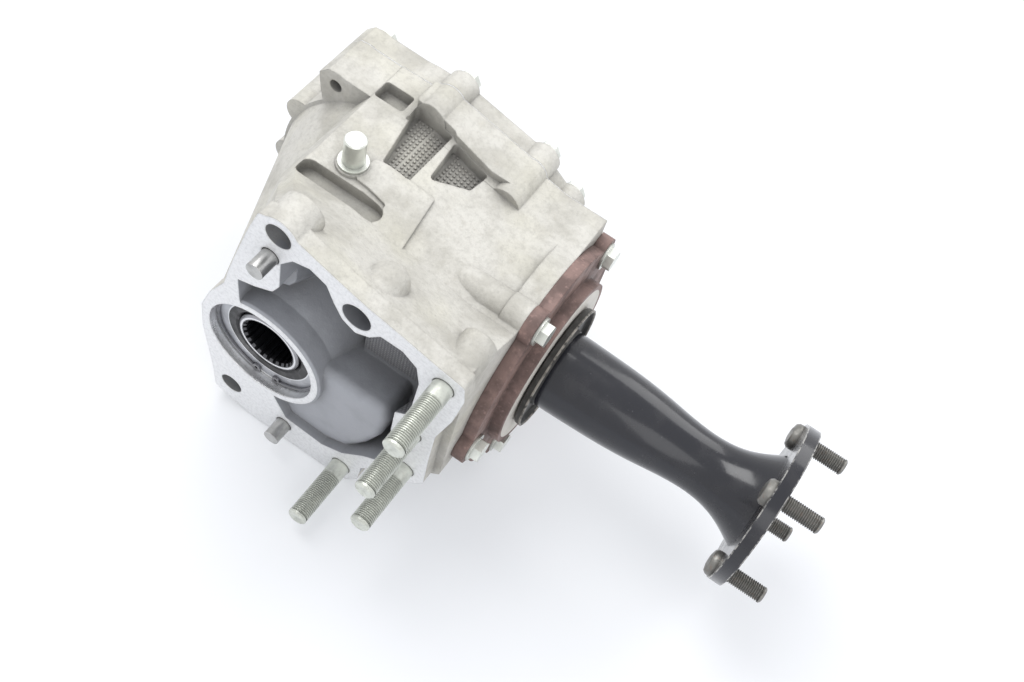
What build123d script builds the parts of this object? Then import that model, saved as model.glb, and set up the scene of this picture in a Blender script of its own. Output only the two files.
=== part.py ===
from build123d import *
import os
from math import acos, atan, cos, floor, log, pi, radians, sin, tan

os.makedirs("parts", exist_ok=True)

# Frame: the input axis is Y and the mating face is the plane y = 0, with the case on the +Y side.
# The output axis runs along +X, level with the input axis, and crosses it at the apex of the gears.

# Main layout
APEX_Y = 98.0
BOTTOM_Z = -80.0
CASE_END_X = 117.0
COVER_JOINT_Y = 154.0

# Top of the case: flat behind the shoulder, with a shallow fall to the output side
TOP_Z = 86.0
TOP_LOW_Z = 68.0
TOP_FALL = ((12.0, TOP_Z), (90.0, TOP_LOW_Z))
SHOULDER_Y = 58.0
POCKET_DEPTH = 8.0
POCKETS = (((-2, 135), (24, 133), (23.5, 91), (6.5, 91)), ((27, 131), (52, 128), (50, 113), (30, 101)),
           ((-25, 139), (-6, 139), (-6, 126), (-25, 126)))
SLOT = ((-19.5, 61.5), (20.5, 61.5))
SLOT_WIDTH = 13.0
PAD = ((3, 89.5), (40, 93), (46, 50), (26, 50), (24, 70), (3, 72))
SLOT_DEPTH = 8.0
PAD_RISE = 1.6
RAIL = ((-3, 135.5), (24, 133.5), (27, 131.5), (53, 128.5), (66, 131), (72, 138), (72, COVER_JOINT_Y),
        (-3, COVER_JOINT_Y))
RAIL_RISE = 5.0
LUG_BOLT = (-48.5, 76.5)

# Case casting
FRAME_DEPTH = 10.0
RECESS_DEPTH = 50.0
RECESS_FALL = 0.75
LEDGE_Z = 15.0
WINDOW_DEPTH = 14.0
LOW_RECESS_DEPTH = 28.0
BULGE_Y = 5.0
BULGE_END_Y = 40.0
BULGE_CORNER = 6.0
INNER_BODY_Y = 30.0
CONE_MOUTH_R = 40.5
CONE_MOUTH_LENGTH = 14.0
CONE_WIDE_R = 80.0
FAR_FLANGE_R = 82.0
RING_CHAMBER_R = 72.0
PINION_HOUSING_R = 54.0
PINION_HOUSING_START_X = 24.0
END_FLANGE_THICK = 13.0
COVER_FLANGE_THICK = 14.0
COVER_HUB_R = 44.0
COVER_WALL = 6.0
COVER_RIBS = 8
COVER_RIB_THICK = 5.0
FAR_FLANGE_THICK = 30.0

# Input bore, its oil seal and snap ring
INPUT_SEAL_R = 35.0
SNAP_RING_Y = 6.0
SNAP_RING_THICK = 1.4
SNAP_RING_DEEP = 1.5
SEAL_WIDTH = 10.0
SEAL_LIP_CLEARANCE = 0.05
BORE_LAND = 3.0

# Bevel gears
RING_TEETH = 29
PINION_TEETH = 13
RING_PITCH_R = 65.0
GEAR_FACE = 20.0
PRESSURE_ANGLE = 20.0
SPIRAL_ANGLE = 33.0
RING_ADDENDUM = 0.53
PINION_ADDENDUM = 1.27
ROOT_CLEARANCE = 0.19
PROFILE_SHIFT = 0.37
GEAR_BACKLASH = 0.24

# Hollow input shaft that carries the ring gear
SHAFT_SEAL_R = 20.5
SHAFT_BODY_R = 26.0
RIGHT_SEAL_R = 31.0
SHAFT_BORE_R = 16.0
SHAFT_START_Y = 7.0
SPLINE_TEETH = 24
SPLINE_DEPTH = 1.4
SPLINE_LENGTH = 34.0
SHAFT_FLANGE_R = 62.0
SHAFT_FLANGE_THICK = 8.0
RING_SEAT_R = 38.0
RING_SEAT_LENGTH = 11.0
RING_BACK = 46.0
RING_BOLT_CIRCLE_R = 53.0
RING_BOLT_COUNT = 10
RING_BOLT_R = 5.0
RING_BOLT_DEPTH = 11.0

# Tapered roller bearings: bore radius, outer radius and width
SIDE_BORE_R = 22.5
SIDE_OUTER_R = 37.5
SIDE_WIDTH = 20.0
REAR_BORE_R = 17.5
REAR_OUTER_R = 36.0
REAR_WIDTH = 23.0
FRONT_BORE_R = 15.0
FRONT_OUTER_R = 31.0
FRONT_WIDTH = 20.0
ROLLER_ANGLE = 12.5
ROLLER_CLEARANCE = 0.02
SIDE_SHIM = 1.2

# Drive pinion and its bearing retainer
PINION_HEAD_BACK_X = 71.0
PINION_SHIM = 1.5
PINION_SHOULDER_R = 24.0
PINION_THREAD_R = 10.0
PINION_SPLINE_R = 13.0
PINION_NUT_HEX = 27.0
PINION_NUT_THICK = 16.0
SPIGOT_R = 44.0
SPIGOT_START_X = 76.0
SPIGOT_LAND_R = 28.0
FRONT_BEARING_END_X = 124.0
PINION_SEAL_R = 32.0
RETAINER_PLATE_R = 72.0
RETAINER_LOBE_R = 11.0
RETAINER_THICK = 7.5
RETAINER_HUB_R = 54.0
RETAINER_HUB_HEIGHT = 7.0
RETAINER_BOLT_CIRCLE_R = 69.0
RETAINER_BOLT_ANGLES = (41.0, 113.0, 185.0, 248.0, 334.0)
RETAINER_LONG_BOSS = 1
RETAINER_LONG_BOSS_X = 78.0
O_RING_R = 1.5

# Companion flange
FLANGE_HUB_R = 22.0
FLANGE_TUBE_R = 24.5
FLANGE_NECK_R = 18.3
FLANGE_NECK_X = 238.0
FLANGE_BORE_R = 16.2
FLANGE_HUB_LENGTH = 34.0
FLANGE_FACE_X = 278.5
FLANGE_THICK = 8.0
FLANGE_PILOT_R = 26.0
FLANGE_PILOT_DEPTH = 3.0
FLANGE_STUD_PCD = 84.85
FLANGE_STUD_R = 5.0
FLANGE_STUD_OUT = 22.5
FLANGE_STUD_HEAD_R = 8.0
FLANGE_STUD_HEAD = 5.0
FLANGE_STUD_SEAT_R = 5.6
FLANGE_STUD_ANGLE = 22.9
FLANGE_R = 51.0
FLANGE_FLARE_R = 30.5
DEFLECTOR_R = 45.0
DEFLECTOR_GAP = 0.8

# Fasteners, dowels and plugs
CASE_STUD_R = 6.0
CASE_STUD_OUT = 41.8
CASE_STUD_IN = 20.0
CASE_STUD_FOOT_R = 5.5
CASE_STUD_COLUMN = 32.0
CASE_STUDS = ((108.6, 84.8), (98.8, 24.4), (100.0, -17.1), (60.9, -65.4))
CASE_STUD_BOSS_R = 10.0
DOWEL_R = 5.0
DOWEL_OUT = 12.0
DOWEL_IN = 12.0
DOWEL_FOOT_R = 4.5
MOUTH_CLEARANCE = 0.4
MOUTH_DEPTH = 1.0
DOWELS = ((4.8, 97.1), (18.9, -62.9))
FACE_HOLES = ((9.0, 116.5, 7.6, 20.0), (56.5, 94.3, 8.5, 26.0), (-20.0, -58.0, 7.2, 30.0))
M8_R = 4.0
M8_HEX = 12.0
M8_HEAD = 6.5
M8_FLANGE_R = 8.5
BREATHER_AT = (-4.0, 79.2)
BREATHER_R = 6.2
BREATHER_HEIGHT = 18.5
BREATHER_STEM_R = 4.0
BREATHER_BOSS = 1.8
BREATHER_WASHER_R = 8.5
PLUG_R = 9.0
PLUG_HEX = 24.0
PLUG_FLANGE_R = 14.0
PLUG_LENGTH = 12.0
FILL_PLUG_AT = (-58.0, 20.0)
DRAIN_PLUG_AT = (-34.0, -58.0)
GASKET_THICK = 0.5
COVER_BOLTS = ((8.0, 84.0), (66.0, 69.0), (88.0, 51.0), (84.0, -25.0), (62.0, -58.0), (22.0, -72.0),
               (-20.0, -70.0), (-61.0, -48.0), (-78.0, -6.0), (-71.0, 36.0), LUG_BOLT)
COVER_BOLT_DEPTH = 14.0
RETAINER_BOLT_DEPTH = 17.0
COVER_BOSS_R = 10.0

COVER_OUTLINE = ((-58, 66), (-60, 80), (-54, 86), (-18, 85), (-10, 86), (12, 86), (61, 75), (98, 50),
                 (98, -4), (80, -46), (34, -72), (-20, -72))

# Outlines in the mating plane, as (x, z)
FACE_OUTLINE = ((-3, 124.5), (8, 128), (21, 121.5), (42, 114), (61, 108), (82, 103.5), (104, 98), (119, 95),
                (121, 84), (118, 60), (112, 36), (112, 12), (113, -20), (104, -31), (86, -36), (74, -52),
                (73, -68), (66, -78), (54, -80), (-8, -80), (-32, -72), (-34, -50), (-40, -12), (-40, 10),
                (-34, 28), (-24, 46), (-21, 61), (-15, 84), (-9, 106))
WINDOW_OUTLINE = ((-15, 58), (-4, 62), (7, 68), (11, 76), (11, 96), (18, 105), (28, 108), (38, 104),
                  (43, 94), (49, 85), (57, 81), (65, 85), (71, 92), (84, 92), (93, 86), (96, 74),
                  (95, 40), (87, 34), (87, 14), (90, 6), (88, -26), (74, -36), (60, -50), (46, -56),
                  (20, -54), (0, -20), (-14, 40))

# Body that stands in the lower half of the recess, as (x, z)
BULGE_OUTLINE = ((0, LEDGE_Z), (80, LEDGE_Z), (81.5, 4), (78, -18), (71, -35), (61, -51.5), (46, -58),
                 (18, -57), (0, -20))

# Bosses over the holes of the mating face: x, z, radius, length of the straight part
HOLE_BOSS = (56.5, 94.3, 11.5, 25.0)

# Derived places
turn_input = Plane(origin=(0, 0, 0), x_dir=(0, 1, 0), z_dir=(0, 0, -1))
turn_output = Plane(origin=(0, APEX_Y, 0), x_dir=(1, 0, 0), z_dir=(0, 0, 1))
input_axis = Axis.Y
output_axis = Axis((0, APEX_Y, 0), (1, 0, 0))


def xz_plane(y):
    """Plane across the input axis, with x to the right and z up. It is extruded by a minus amount for +Y."""
    return Plane.XZ.offset(-y)


def yz_plane(x):
    """Plane across the output axis, centred on it, with y to the right and z up."""
    return Plane(origin=(x, APEX_Y, 0), x_dir=(0, 1, 0), z_dir=(1, 0, 0))


def toward_y(x, y, z):
    return Plane(origin=(x, y, z), x_dir=(1, 0, 0), z_dir=(0, 1, 0))


def toward_x(x, y, z):
    return Plane(origin=(x, y, z), x_dir=(0, 1, 0), z_dir=(1, 0, 0))


def turned(points, plane, axis):
    """Solid of revolution from a closed outline of (along the axis, radius) points."""
    with BuildPart() as body:
        with BuildSketch(plane):
            with BuildLine():
                Polyline(*points, close=True)
            make_face()
        revolve(axis=axis)
    return body.part


def bar(plane, radius, length):
    """Round bar from a plane along its normal."""
    with BuildPart() as body:
        with BuildSketch(plane):
            Circle(radius)
        extrude(amount=length)
    return body.part


def rounded_bar(plane, radius, length):
    """Round bar from a plane along its normal, with a dome of the same radius behind the plane."""
    with BuildPart() as body:
        add(bar(plane, radius, length))
        with Locations(plane.origin):
            Sphere(radius)
    return body.part


def write(part, name):
    part.label = name
    export_step(part, "parts/" + name + ".step")


def tapered_bearing(name, plane, axis, start, side, bore_r, outer_r, width):
    """Cup, cone, rollers and cage. The large ends of the rollers face side (+1 or -1) along the axis."""
    middle = start + width / 2
    mean_r = (bore_r + outer_r) / 2
    roller_r = 0.285 * (outer_r - bore_r)
    length = 0.66 * width
    angle = radians(ROLLER_ANGLE)
    apex = middle - side * mean_r / tan(angle)
    half_taper = atan(roller_r * cos(angle) / (mean_r / tan(angle)))
    count = floor(2 * pi * mean_r / (2 * roller_r + 2.2))
    large = middle + side * width / 2
    small = middle - side * width / 2

    def on_race(along, polar):
        return (along, abs(along - apex) * tan(polar))

    cup_end = middle + side * width * 0.36
    cup = [(small, outer_r), (cup_end, outer_r), on_race(cup_end, angle + half_taper),
           on_race(small, angle + half_taper)]
    roller_large = middle + side * length / 2 * cos(angle)
    roller_small = middle - side * length / 2 * cos(angle)
    race_large = roller_large + side * (ROLLER_CLEARANCE + roller_r * 1.12 * sin(angle))
    race_small = roller_small - side * (ROLLER_CLEARANCE + 0.35)
    inner = angle - half_taper
    rib = roller_r * 0.75
    cone_start = race_small - side * width * 0.07
    cone = [(cone_start, bore_r), (large, bore_r), (large, on_race(race_large, inner)[1] + rib),
            (race_large, on_race(race_large, inner)[1] + rib), on_race(race_large, inner),
            on_race(race_small, inner), (race_small, on_race(race_small, inner)[1] + rib * 0.5),
            (cone_start, on_race(race_small, inner)[1] + rib * 0.5)]
    cone_starts[name] = cone_start
    write(turned(cup, plane, axis), name + "_cup")
    write(turned(cone, plane, axis), name + "_cone")

    along_axis = plane.x_dir
    outward = plane.y_dir
    tip = plane.origin + along_axis * apex
    direction = along_axis * (side * cos(angle)) + outward * sin(angle)
    to_small = abs(roller_small - apex) / cos(angle)
    to_large = abs(roller_large - apex) / cos(angle)
    small_r = to_small * tan(half_taper) - ROLLER_CLEARANCE
    large_r = to_large * tan(half_taper) - ROLLER_CLEARANCE
    seat = Plane(origin=tip + direction * to_small, z_dir=direction)
    with BuildPart() as roller:
        with BuildSketch(seat):
            Circle(small_r)
        with BuildSketch(seat.offset(to_large - to_small)):
            Circle(large_r)
        loft()
    with BuildPart() as rollers:
        add([roller.part.rotate(axis, 360 * k / count) for k in range(count)])
    write(rollers.part, name + "_rollers")

    # Cage: a thin cone through the rollers, just outside their axes, with a pocket for each
    skin = 0.7
    lift = roller_r * 0.22
    cage_small = roller_small - side * width * 0.055
    cage_large = roller_large + side * width * 0.055
    cage = [(cage_small, on_race(cage_small, angle)[1] + lift - skin),
            (cage_large, on_race(cage_large, angle)[1] + lift - skin),
            (cage_large, on_race(cage_large, angle)[1] + lift + skin),
            (cage_small, on_race(cage_small, angle)[1] + lift + skin)]
    play = 0.12
    pocket_seat = Plane(origin=tip + direction * (to_small + to_large) * 0.5, x_dir=plane.z_dir,
                        z_dir=direction.cross(plane.z_dir))
    with BuildPart() as pocket:
        with BuildSketch(pocket_seat):
            Rectangle(2 * (large_r + play), to_large - to_small + 2 * play)
        extrude(amount=roller_r * 1.5, both=True)
    with BuildPart() as cage_part:
        add(turned(cage, plane, axis))
        add([pocket.part.rotate(axis, 360 * k / count) for k in range(count)], mode=Mode.SUBTRACT)
    write(cage_part.part, name + "_cage")


# Stations along the input axis
input_seal_y = SNAP_RING_Y + SNAP_RING_THICK + 0.3
left_shim_y = input_seal_y + SEAL_WIDTH + BORE_LAND
left_bearing_y = left_shim_y + SIDE_SHIM
left_shoulder_y = left_bearing_y + SIDE_WIDTH
ring_back_y = APEX_Y + RING_BACK
flange_end_y = ring_back_y + SHAFT_FLANGE_THICK
right_bearing_y = flange_end_y + 2.0
right_shim_y = right_bearing_y + SIDE_WIDTH
right_land_y = right_shim_y + SIDE_SHIM
right_seal_y = right_land_y + BORE_LAND
cover_end_y = right_seal_y + SEAL_WIDTH + 2.0
shaft_end_y = cover_end_y - 1.0
cover_flange_end_y = COVER_JOINT_Y + COVER_FLANGE_THICK

# Stations along the output axis
retainer_face_x = CASE_END_X + RETAINER_THICK
hub_face_x = retainer_face_x + RETAINER_HUB_HEIGHT
deflector_x = hub_face_x + DEFLECTOR_GAP
rear_bearing_x = PINION_HEAD_BACK_X + PINION_SHIM
rear_bearing_end_x = rear_bearing_x + REAR_WIDTH
front_bearing_x = FRONT_BEARING_END_X - FRONT_WIDTH
o_ring_x = CASE_END_X - 8.0
retainer_boss_x = CASE_END_X - RETAINER_BOLT_DEPTH - 4.0
plug_seat_y = cover_flange_end_y + 7.0
cone_starts = {}


def bolt_places():
    places = []
    for angle in [radians(angle) for angle in RETAINER_BOLT_ANGLES]:
        places.append((RETAINER_BOLT_CIRCLE_R * cos(angle), RETAINER_BOLT_CIRCLE_R * sin(angle)))
    return places


retainer_bolts = bolt_places()


def cover_plate(y, thick):
    """Flange at the cover's joint: round, with a straight run to the right and a boss at each bolt."""
    with BuildPart() as plate:
        with BuildSketch(xz_plane(y)):
            Circle(FAR_FLANGE_R)
            with BuildLine():
                Polyline(*COVER_OUTLINE, close=True)
            make_face()
            with Locations(*COVER_BOLTS):
                Circle(COVER_BOSS_R)
            with Locations((0, BOTTOM_Z - 50)):
                Rectangle(300, 100, mode=Mode.SUBTRACT)
        extrude(amount=-thick)
    return plate.part


SHOULDER_FRONT = ((-9, 100), (-2, 122), (8, 126), (42, 112.5), (82, 102), (CASE_END_X, 94),
                  (CASE_END_X, -20), (74, -60), (60, BOTTOM_Z + 2), (-20, BOTTOM_Z + 2), (-36, -20),
                  (-26, 40))
SHOULDER_BACK = ((-42, 45), (-34, 72), (-25, TOP_Z), TOP_FALL[0], TOP_FALL[1], (CASE_END_X, TOP_LOW_Z),
                 (CASE_END_X, -20), (90, -50), (60, -62), (-20, -58), (-46, -20), (-48, 10))


def prism(outline, plane, amount, corner=0.0):
    """Straight extrusion of a closed outline, with its corners rounded."""
    with BuildPart() as body:
        with BuildSketch(plane) as shape:
            with BuildLine():
                Polyline(*outline, close=True)
            make_face()
            if corner:
                fillet(shape.vertices(), corner)
        extrude(amount=amount)
    return body.part


def below_top(rise):
    """Everything under a surface that runs parallel to the top of the case, rise above it."""
    high = TOP_Z + rise
    low = TOP_LOW_Z + rise
    outline = [(-200, 0), (-200, high), (TOP_FALL[0][0], high), (TOP_FALL[1][0], low), (200, low), (200, 0)]
    return prism(outline, xz_plane(0), -COVER_JOINT_Y)


def top_prism(outline, corner):
    return prism(outline, Plane.XY, TOP_Z + 40, corner)


# Transfer case
with BuildPart() as case:
    add(prism(FACE_OUTLINE, xz_plane(0), -FRAME_DEPTH, 2.5))
    with BuildSketch(xz_plane(FRAME_DEPTH)):
        with BuildLine():
            Polyline(*SHOULDER_FRONT, close=True)
        make_face()
    with BuildSketch(xz_plane(SHOULDER_Y)):
        with BuildLine():
            Polyline(*SHOULDER_BACK, close=True)
        make_face()
    loft(ruled=True)
    add(prism([(-42, 45), (-34, 72), (-25, TOP_Z), TOP_FALL[0], TOP_FALL[1], (CASE_END_X, TOP_LOW_Z),
               (CASE_END_X, 0), (0, 0)], xz_plane(SHOULDER_Y), -(COVER_JOINT_Y - SHOULDER_Y)))

    # Deep recess behind the mating frame, its shallow lower part, and the inner body between them
    window = prism(WINDOW_OUTLINE, xz_plane(-1), -WINDOW_DEPTH - 1, 2.0)
    add(window, mode=Mode.SUBTRACT)
    with BuildSketch(xz_plane(0)):
        with BuildLine():
            Polyline(*WINDOW_OUTLINE, close=True)
        make_face()
        with Locations((0, LEDGE_Z + 100)):
            Rectangle(400, 200, mode=Mode.SUBTRACT)
    extrude(amount=-LOW_RECESS_DEPTH, mode=Mode.SUBTRACT)
    with BuildSketch(xz_plane(0)):
        with BuildLine():
            Polyline(*WINDOW_OUTLINE, close=True)
        make_face()
        with Locations((0, LEDGE_Z - 100)):
            Rectangle(400, 200, mode=Mode.SUBTRACT)
    extrude(amount=RECESS_DEPTH, dir=Vector(0, 1, -RECESS_FALL), mode=Mode.SUBTRACT)
    with BuildSketch(xz_plane(INNER_BODY_Y)):
        with Locations((47, -40)):
            Rectangle(38, 105, align=(Align.MIN, Align.MIN))
    extrude(amount=-(APEX_Y - INNER_BODY_Y))

    with BuildPart(mode=Mode.PRIVATE) as bulge:
        add(prism(BULGE_OUTLINE, xz_plane(BULGE_Y), -(BULGE_END_Y - BULGE_Y), BULGE_CORNER))
        front = bulge.edges().group_by(Axis.Y)[0]
        seen = [edge for edge in front if edge.center().X > 66 or edge.center().Z > LEDGE_Z - 4]
        fillet(seen, BULGE_CORNER)
    add(bulge.part)

    # Cone housing, pinion housing, end flange and far flange
    add(turned([(0, 0), (0, CONE_MOUTH_R - 1.5), (1.5, CONE_MOUTH_R), (CONE_MOUTH_LENGTH, CONE_MOUTH_R),
                (COVER_JOINT_Y - FAR_FLANGE_THICK, CONE_WIDE_R), (COVER_JOINT_Y, CONE_WIDE_R),
                (COVER_JOINT_Y, 0)], turn_input, input_axis))
    add(bar(yz_plane(PINION_HOUSING_START_X), PINION_HOUSING_R, CASE_END_X - PINION_HOUSING_START_X))
    with BuildSketch(yz_plane(CASE_END_X - END_FLANGE_THICK)):
        Circle(RETAINER_PLATE_R)
        with Locations(*retainer_bolts):
            Circle(RETAINER_LOBE_R)
    extrude(amount=END_FLANGE_THICK)
    with BuildSketch(yz_plane(retainer_boss_x)):
        with Locations(*retainer_bolts):
            Circle(RETAINER_LOBE_R - 1)
    extrude(amount=CASE_END_X - retainer_boss_x)
    long_boss_y, long_boss_z = retainer_bolts[RETAINER_LONG_BOSS]
    add(rounded_bar(toward_x(RETAINER_LONG_BOSS_X, APEX_Y + long_boss_y, long_boss_z), RETAINER_LOBE_R - 1,
                    CASE_END_X - RETAINER_LONG_BOSS_X))
    add(cover_plate(COVER_JOINT_Y - FAR_FLANGE_THICK, FAR_FLANGE_THICK))
    # Raised rail along the cover joint, raised pad and breather boss
    with BuildPart(mode=Mode.PRIVATE) as rail:
        add(top_prism(RAIL, 2.0))
        add(below_top(RAIL_RISE), mode=Mode.INTERSECT)
        add(prism([(-60, 0), (-60, 200), (160, 200), (160, 0)], Plane.XY, TOP_LOW_Z - 12), mode=Mode.SUBTRACT)
    add(rail.part)
    with BuildPart(mode=Mode.PRIVATE) as pad:
        add(top_prism(PAD, 1.5))
        add(below_top(PAD_RISE), mode=Mode.INTERSECT)
        add(prism([(-60, 0), (-60, 120), (160, 120), (160, 0)], Plane.XY, TOP_LOW_Z - 12), mode=Mode.SUBTRACT)
    add(pad.part)
    add(bar(Plane(origin=(*BREATHER_AT, TOP_Z - 12)), BREATHER_WASHER_R + 1, 12 + BREATHER_BOSS))

    # Columns behind the case studs and behind the upper hole
    with BuildSketch(xz_plane(0)):
        with Locations(*CASE_STUDS):
            Circle(CASE_STUD_BOSS_R)
    extrude(amount=-CASE_STUD_COLUMN)
    hole_x, hole_z, hole_boss_r, hole_boss_length = HOLE_BOSS
    hole_boss_end = Plane(origin=(hole_x, hole_boss_length, hole_z), x_dir=(1, 0, 0), z_dir=(0, -1, 0))
    add(rounded_bar(hole_boss_end, hole_boss_r, hole_boss_length))
    with BuildSketch(xz_plane(0)):
        with Locations(FACE_HOLES[0][:2]):
            Circle(12)
    extrude(amount=-20)

    # Bearing bore, ring gear chamber and pinion chamber
    add(turned([(-1, 0), (-1, INPUT_SEAL_R), (SNAP_RING_Y, INPUT_SEAL_R),
                (SNAP_RING_Y, INPUT_SEAL_R + SNAP_RING_DEEP),
                (SNAP_RING_Y + SNAP_RING_THICK, INPUT_SEAL_R + SNAP_RING_DEEP),
                (SNAP_RING_Y + SNAP_RING_THICK, INPUT_SEAL_R), (input_seal_y + SEAL_WIDTH, INPUT_SEAL_R),
                (input_seal_y + SEAL_WIDTH, INPUT_SEAL_R - 5), (left_shim_y, INPUT_SEAL_R - 5),
                (left_shim_y, SIDE_OUTER_R), (left_shoulder_y + 1, SIDE_OUTER_R),
                (left_shoulder_y + 3, SIDE_OUTER_R + 2),
                (ring_back_y - RING_BACK + 20, RING_CHAMBER_R), (COVER_JOINT_Y + 1, RING_CHAMBER_R),
                (COVER_JOINT_Y + 1, 0)], turn_input, input_axis), mode=Mode.SUBTRACT)
    add(bar(yz_plane(0), SPIGOT_R - 6, SPIGOT_START_X), mode=Mode.SUBTRACT)
    add(bar(yz_plane(SPIGOT_START_X - 3), SPIGOT_R, CASE_END_X), mode=Mode.SUBTRACT)

    # Pockets, slot and breather hole in the top
    with BuildPart(mode=Mode.PRIVATE) as pockets:
        add([top_prism(outline, 2.0) for outline in POCKETS])
        add(below_top(-POCKET_DEPTH), mode=Mode.SUBTRACT)
    add(pockets.part, mode=Mode.SUBTRACT)
    with BuildSketch(Plane.XY.offset(TOP_Z - SLOT_DEPTH)):
        with Locations(((SLOT[0][0] + SLOT[1][0]) / 2, SLOT[0][1])):
            SlotCenterToCenter(SLOT[1][0] - SLOT[0][0], SLOT_WIDTH)
    extrude(amount=SLOT_DEPTH + 10, mode=Mode.SUBTRACT)
    add(bar(Plane(origin=(*BREATHER_AT, TOP_Z - 11)), BREATHER_STEM_R, 30), mode=Mode.SUBTRACT)

    # Holes in the mating face
    for x, z in CASE_STUDS:
        add(bar(toward_y(x, -1, z), CASE_STUD_FOOT_R, CASE_STUD_IN + 1), mode=Mode.SUBTRACT)
        add(bar(toward_y(x, -1, z), CASE_STUD_R + MOUTH_CLEARANCE, MOUTH_DEPTH + 1), mode=Mode.SUBTRACT)
    for x, z, radius, depth in FACE_HOLES:
        add(bar(Plane(origin=(x, -1, z), z_dir=(0, 1, 0)), radius, depth + 1), mode=Mode.SUBTRACT)
    for x, z in DOWELS:
        add(bar(toward_y(x, -1, z), DOWEL_FOOT_R, DOWEL_IN + 1), mode=Mode.SUBTRACT)
        add(bar(toward_y(x, -1, z), DOWEL_R + MOUTH_CLEARANCE, MOUTH_DEPTH + 1), mode=Mode.SUBTRACT)

    # Tapped holes for the retainer and the cover
    for y, z in retainer_bolts:
        seat = Plane(origin=(CASE_END_X - RETAINER_BOLT_DEPTH - 2, APEX_Y + y, z), z_dir=(1, 0, 0))
        add(bar(seat, M8_R, RETAINER_BOLT_DEPTH + 3), mode=Mode.SUBTRACT)
    for x, z in COVER_BOLTS:
        seat = Plane(origin=(x, COVER_JOINT_Y - COVER_BOLT_DEPTH - 1, z), z_dir=(0, 1, 0))
        add(bar(seat, M8_R, COVER_BOLT_DEPTH + 2), mode=Mode.SUBTRACT)
    add(bar(Plane(origin=(LUG_BOLT[0], COVER_JOINT_Y - FAR_FLANGE_THICK - 1, LUG_BOLT[1]), z_dir=(0, 1, 0)),
            M8_R, FAR_FLANGE_THICK), mode=Mode.SUBTRACT)
write(case.part, "transfer_case")


# Case cover: flange with bolt bosses, dished wall with ribs, bearing hub and seal bore
hub_top_y = right_shim_y
with BuildPart() as cover:
    add(cover_plate(COVER_JOINT_Y, COVER_FLANGE_THICK))
    add(turned([(COVER_JOINT_Y, 0), (COVER_JOINT_Y, CONE_WIDE_R - 2), (cover_flange_end_y, CONE_WIDE_R - 4),
                (hub_top_y, COVER_HUB_R + 6), (hub_top_y + 3, COVER_HUB_R), (cover_end_y - 1, COVER_HUB_R),
                (cover_end_y, COVER_HUB_R - 1), (cover_end_y, 0)], turn_input, input_axis))
    with BuildPart(mode=Mode.PRIVATE) as rib:
        with BuildSketch(Plane.XY):
            with BuildLine():
                Polyline((COVER_HUB_R - 2, cover_end_y - 4), (COVER_HUB_R - 2, cover_flange_end_y - 4),
                         (CONE_WIDE_R - 6, cover_flange_end_y - 4), (CONE_WIDE_R - 6, cover_flange_end_y + 3),
                         close=True)
            make_face()
        extrude(amount=COVER_RIB_THICK / 2, both=True)
    add([rib.part.rotate(input_axis, 22.5 + 360 * k / COVER_RIBS) for k in range(COVER_RIBS)])
    for x, z in (FILL_PLUG_AT, DRAIN_PLUG_AT):
        add(bar(Plane(origin=(x, cover_flange_end_y - 6, z), z_dir=(0, 1, 0)), PLUG_FLANGE_R + 1.5,
                plug_seat_y - cover_flange_end_y + 6))
    # Chamber round the ring gear bolts, bearing seat, land and seal bore
    add(turned([(COVER_JOINT_Y - 1, SIDE_OUTER_R + COVER_WALL - 0.5), (COVER_JOINT_Y - 1, RING_CHAMBER_R),
                (COVER_JOINT_Y + 7, RING_CHAMBER_R), (hub_top_y - 4, COVER_HUB_R + 3),
                (hub_top_y - 4, SIDE_OUTER_R + COVER_WALL - 0.5)], turn_input, input_axis),
        mode=Mode.SUBTRACT)
    add(turned([(COVER_JOINT_Y - 1, 0), (COVER_JOINT_Y - 1, SIDE_OUTER_R), (right_land_y, SIDE_OUTER_R),
                (right_land_y, RIGHT_SEAL_R - 4), (right_seal_y, RIGHT_SEAL_R - 4),
                (right_seal_y, RIGHT_SEAL_R), (cover_end_y + 1, RIGHT_SEAL_R), (cover_end_y + 1, 0)],
               turn_input, input_axis), mode=Mode.SUBTRACT)
    for x, z in (FILL_PLUG_AT, DRAIN_PLUG_AT):
        add(bar(Plane(origin=(x, COVER_JOINT_Y, z), z_dir=(0, 1, 0)), PLUG_R, 60), mode=Mode.SUBTRACT)
        add(bar(toward_y(x, plug_seat_y, z), PLUG_FLANGE_R + 1, 60), mode=Mode.SUBTRACT)
    for y, z in retainer_bolts:
        add(bar(Plane(origin=(retainer_boss_x - 0.5, APEX_Y + y, z), z_dir=(1, 0, 0)), RETAINER_LOBE_R, 60),
            mode=Mode.SUBTRACT)
    for x, z in COVER_BOLTS:
        add(bar(Plane(origin=(x, COVER_JOINT_Y - 1, z), z_dir=(0, 1, 0)), M8_R + 0.5, COVER_FLANGE_THICK + 2),
            mode=Mode.SUBTRACT)
        add(bar(Plane(origin=(x, cover_flange_end_y, z), z_dir=(0, 1, 0)), M8_FLANGE_R + 1, 30),
            mode=Mode.SUBTRACT)
write(cover.part, "case_cover")


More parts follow.
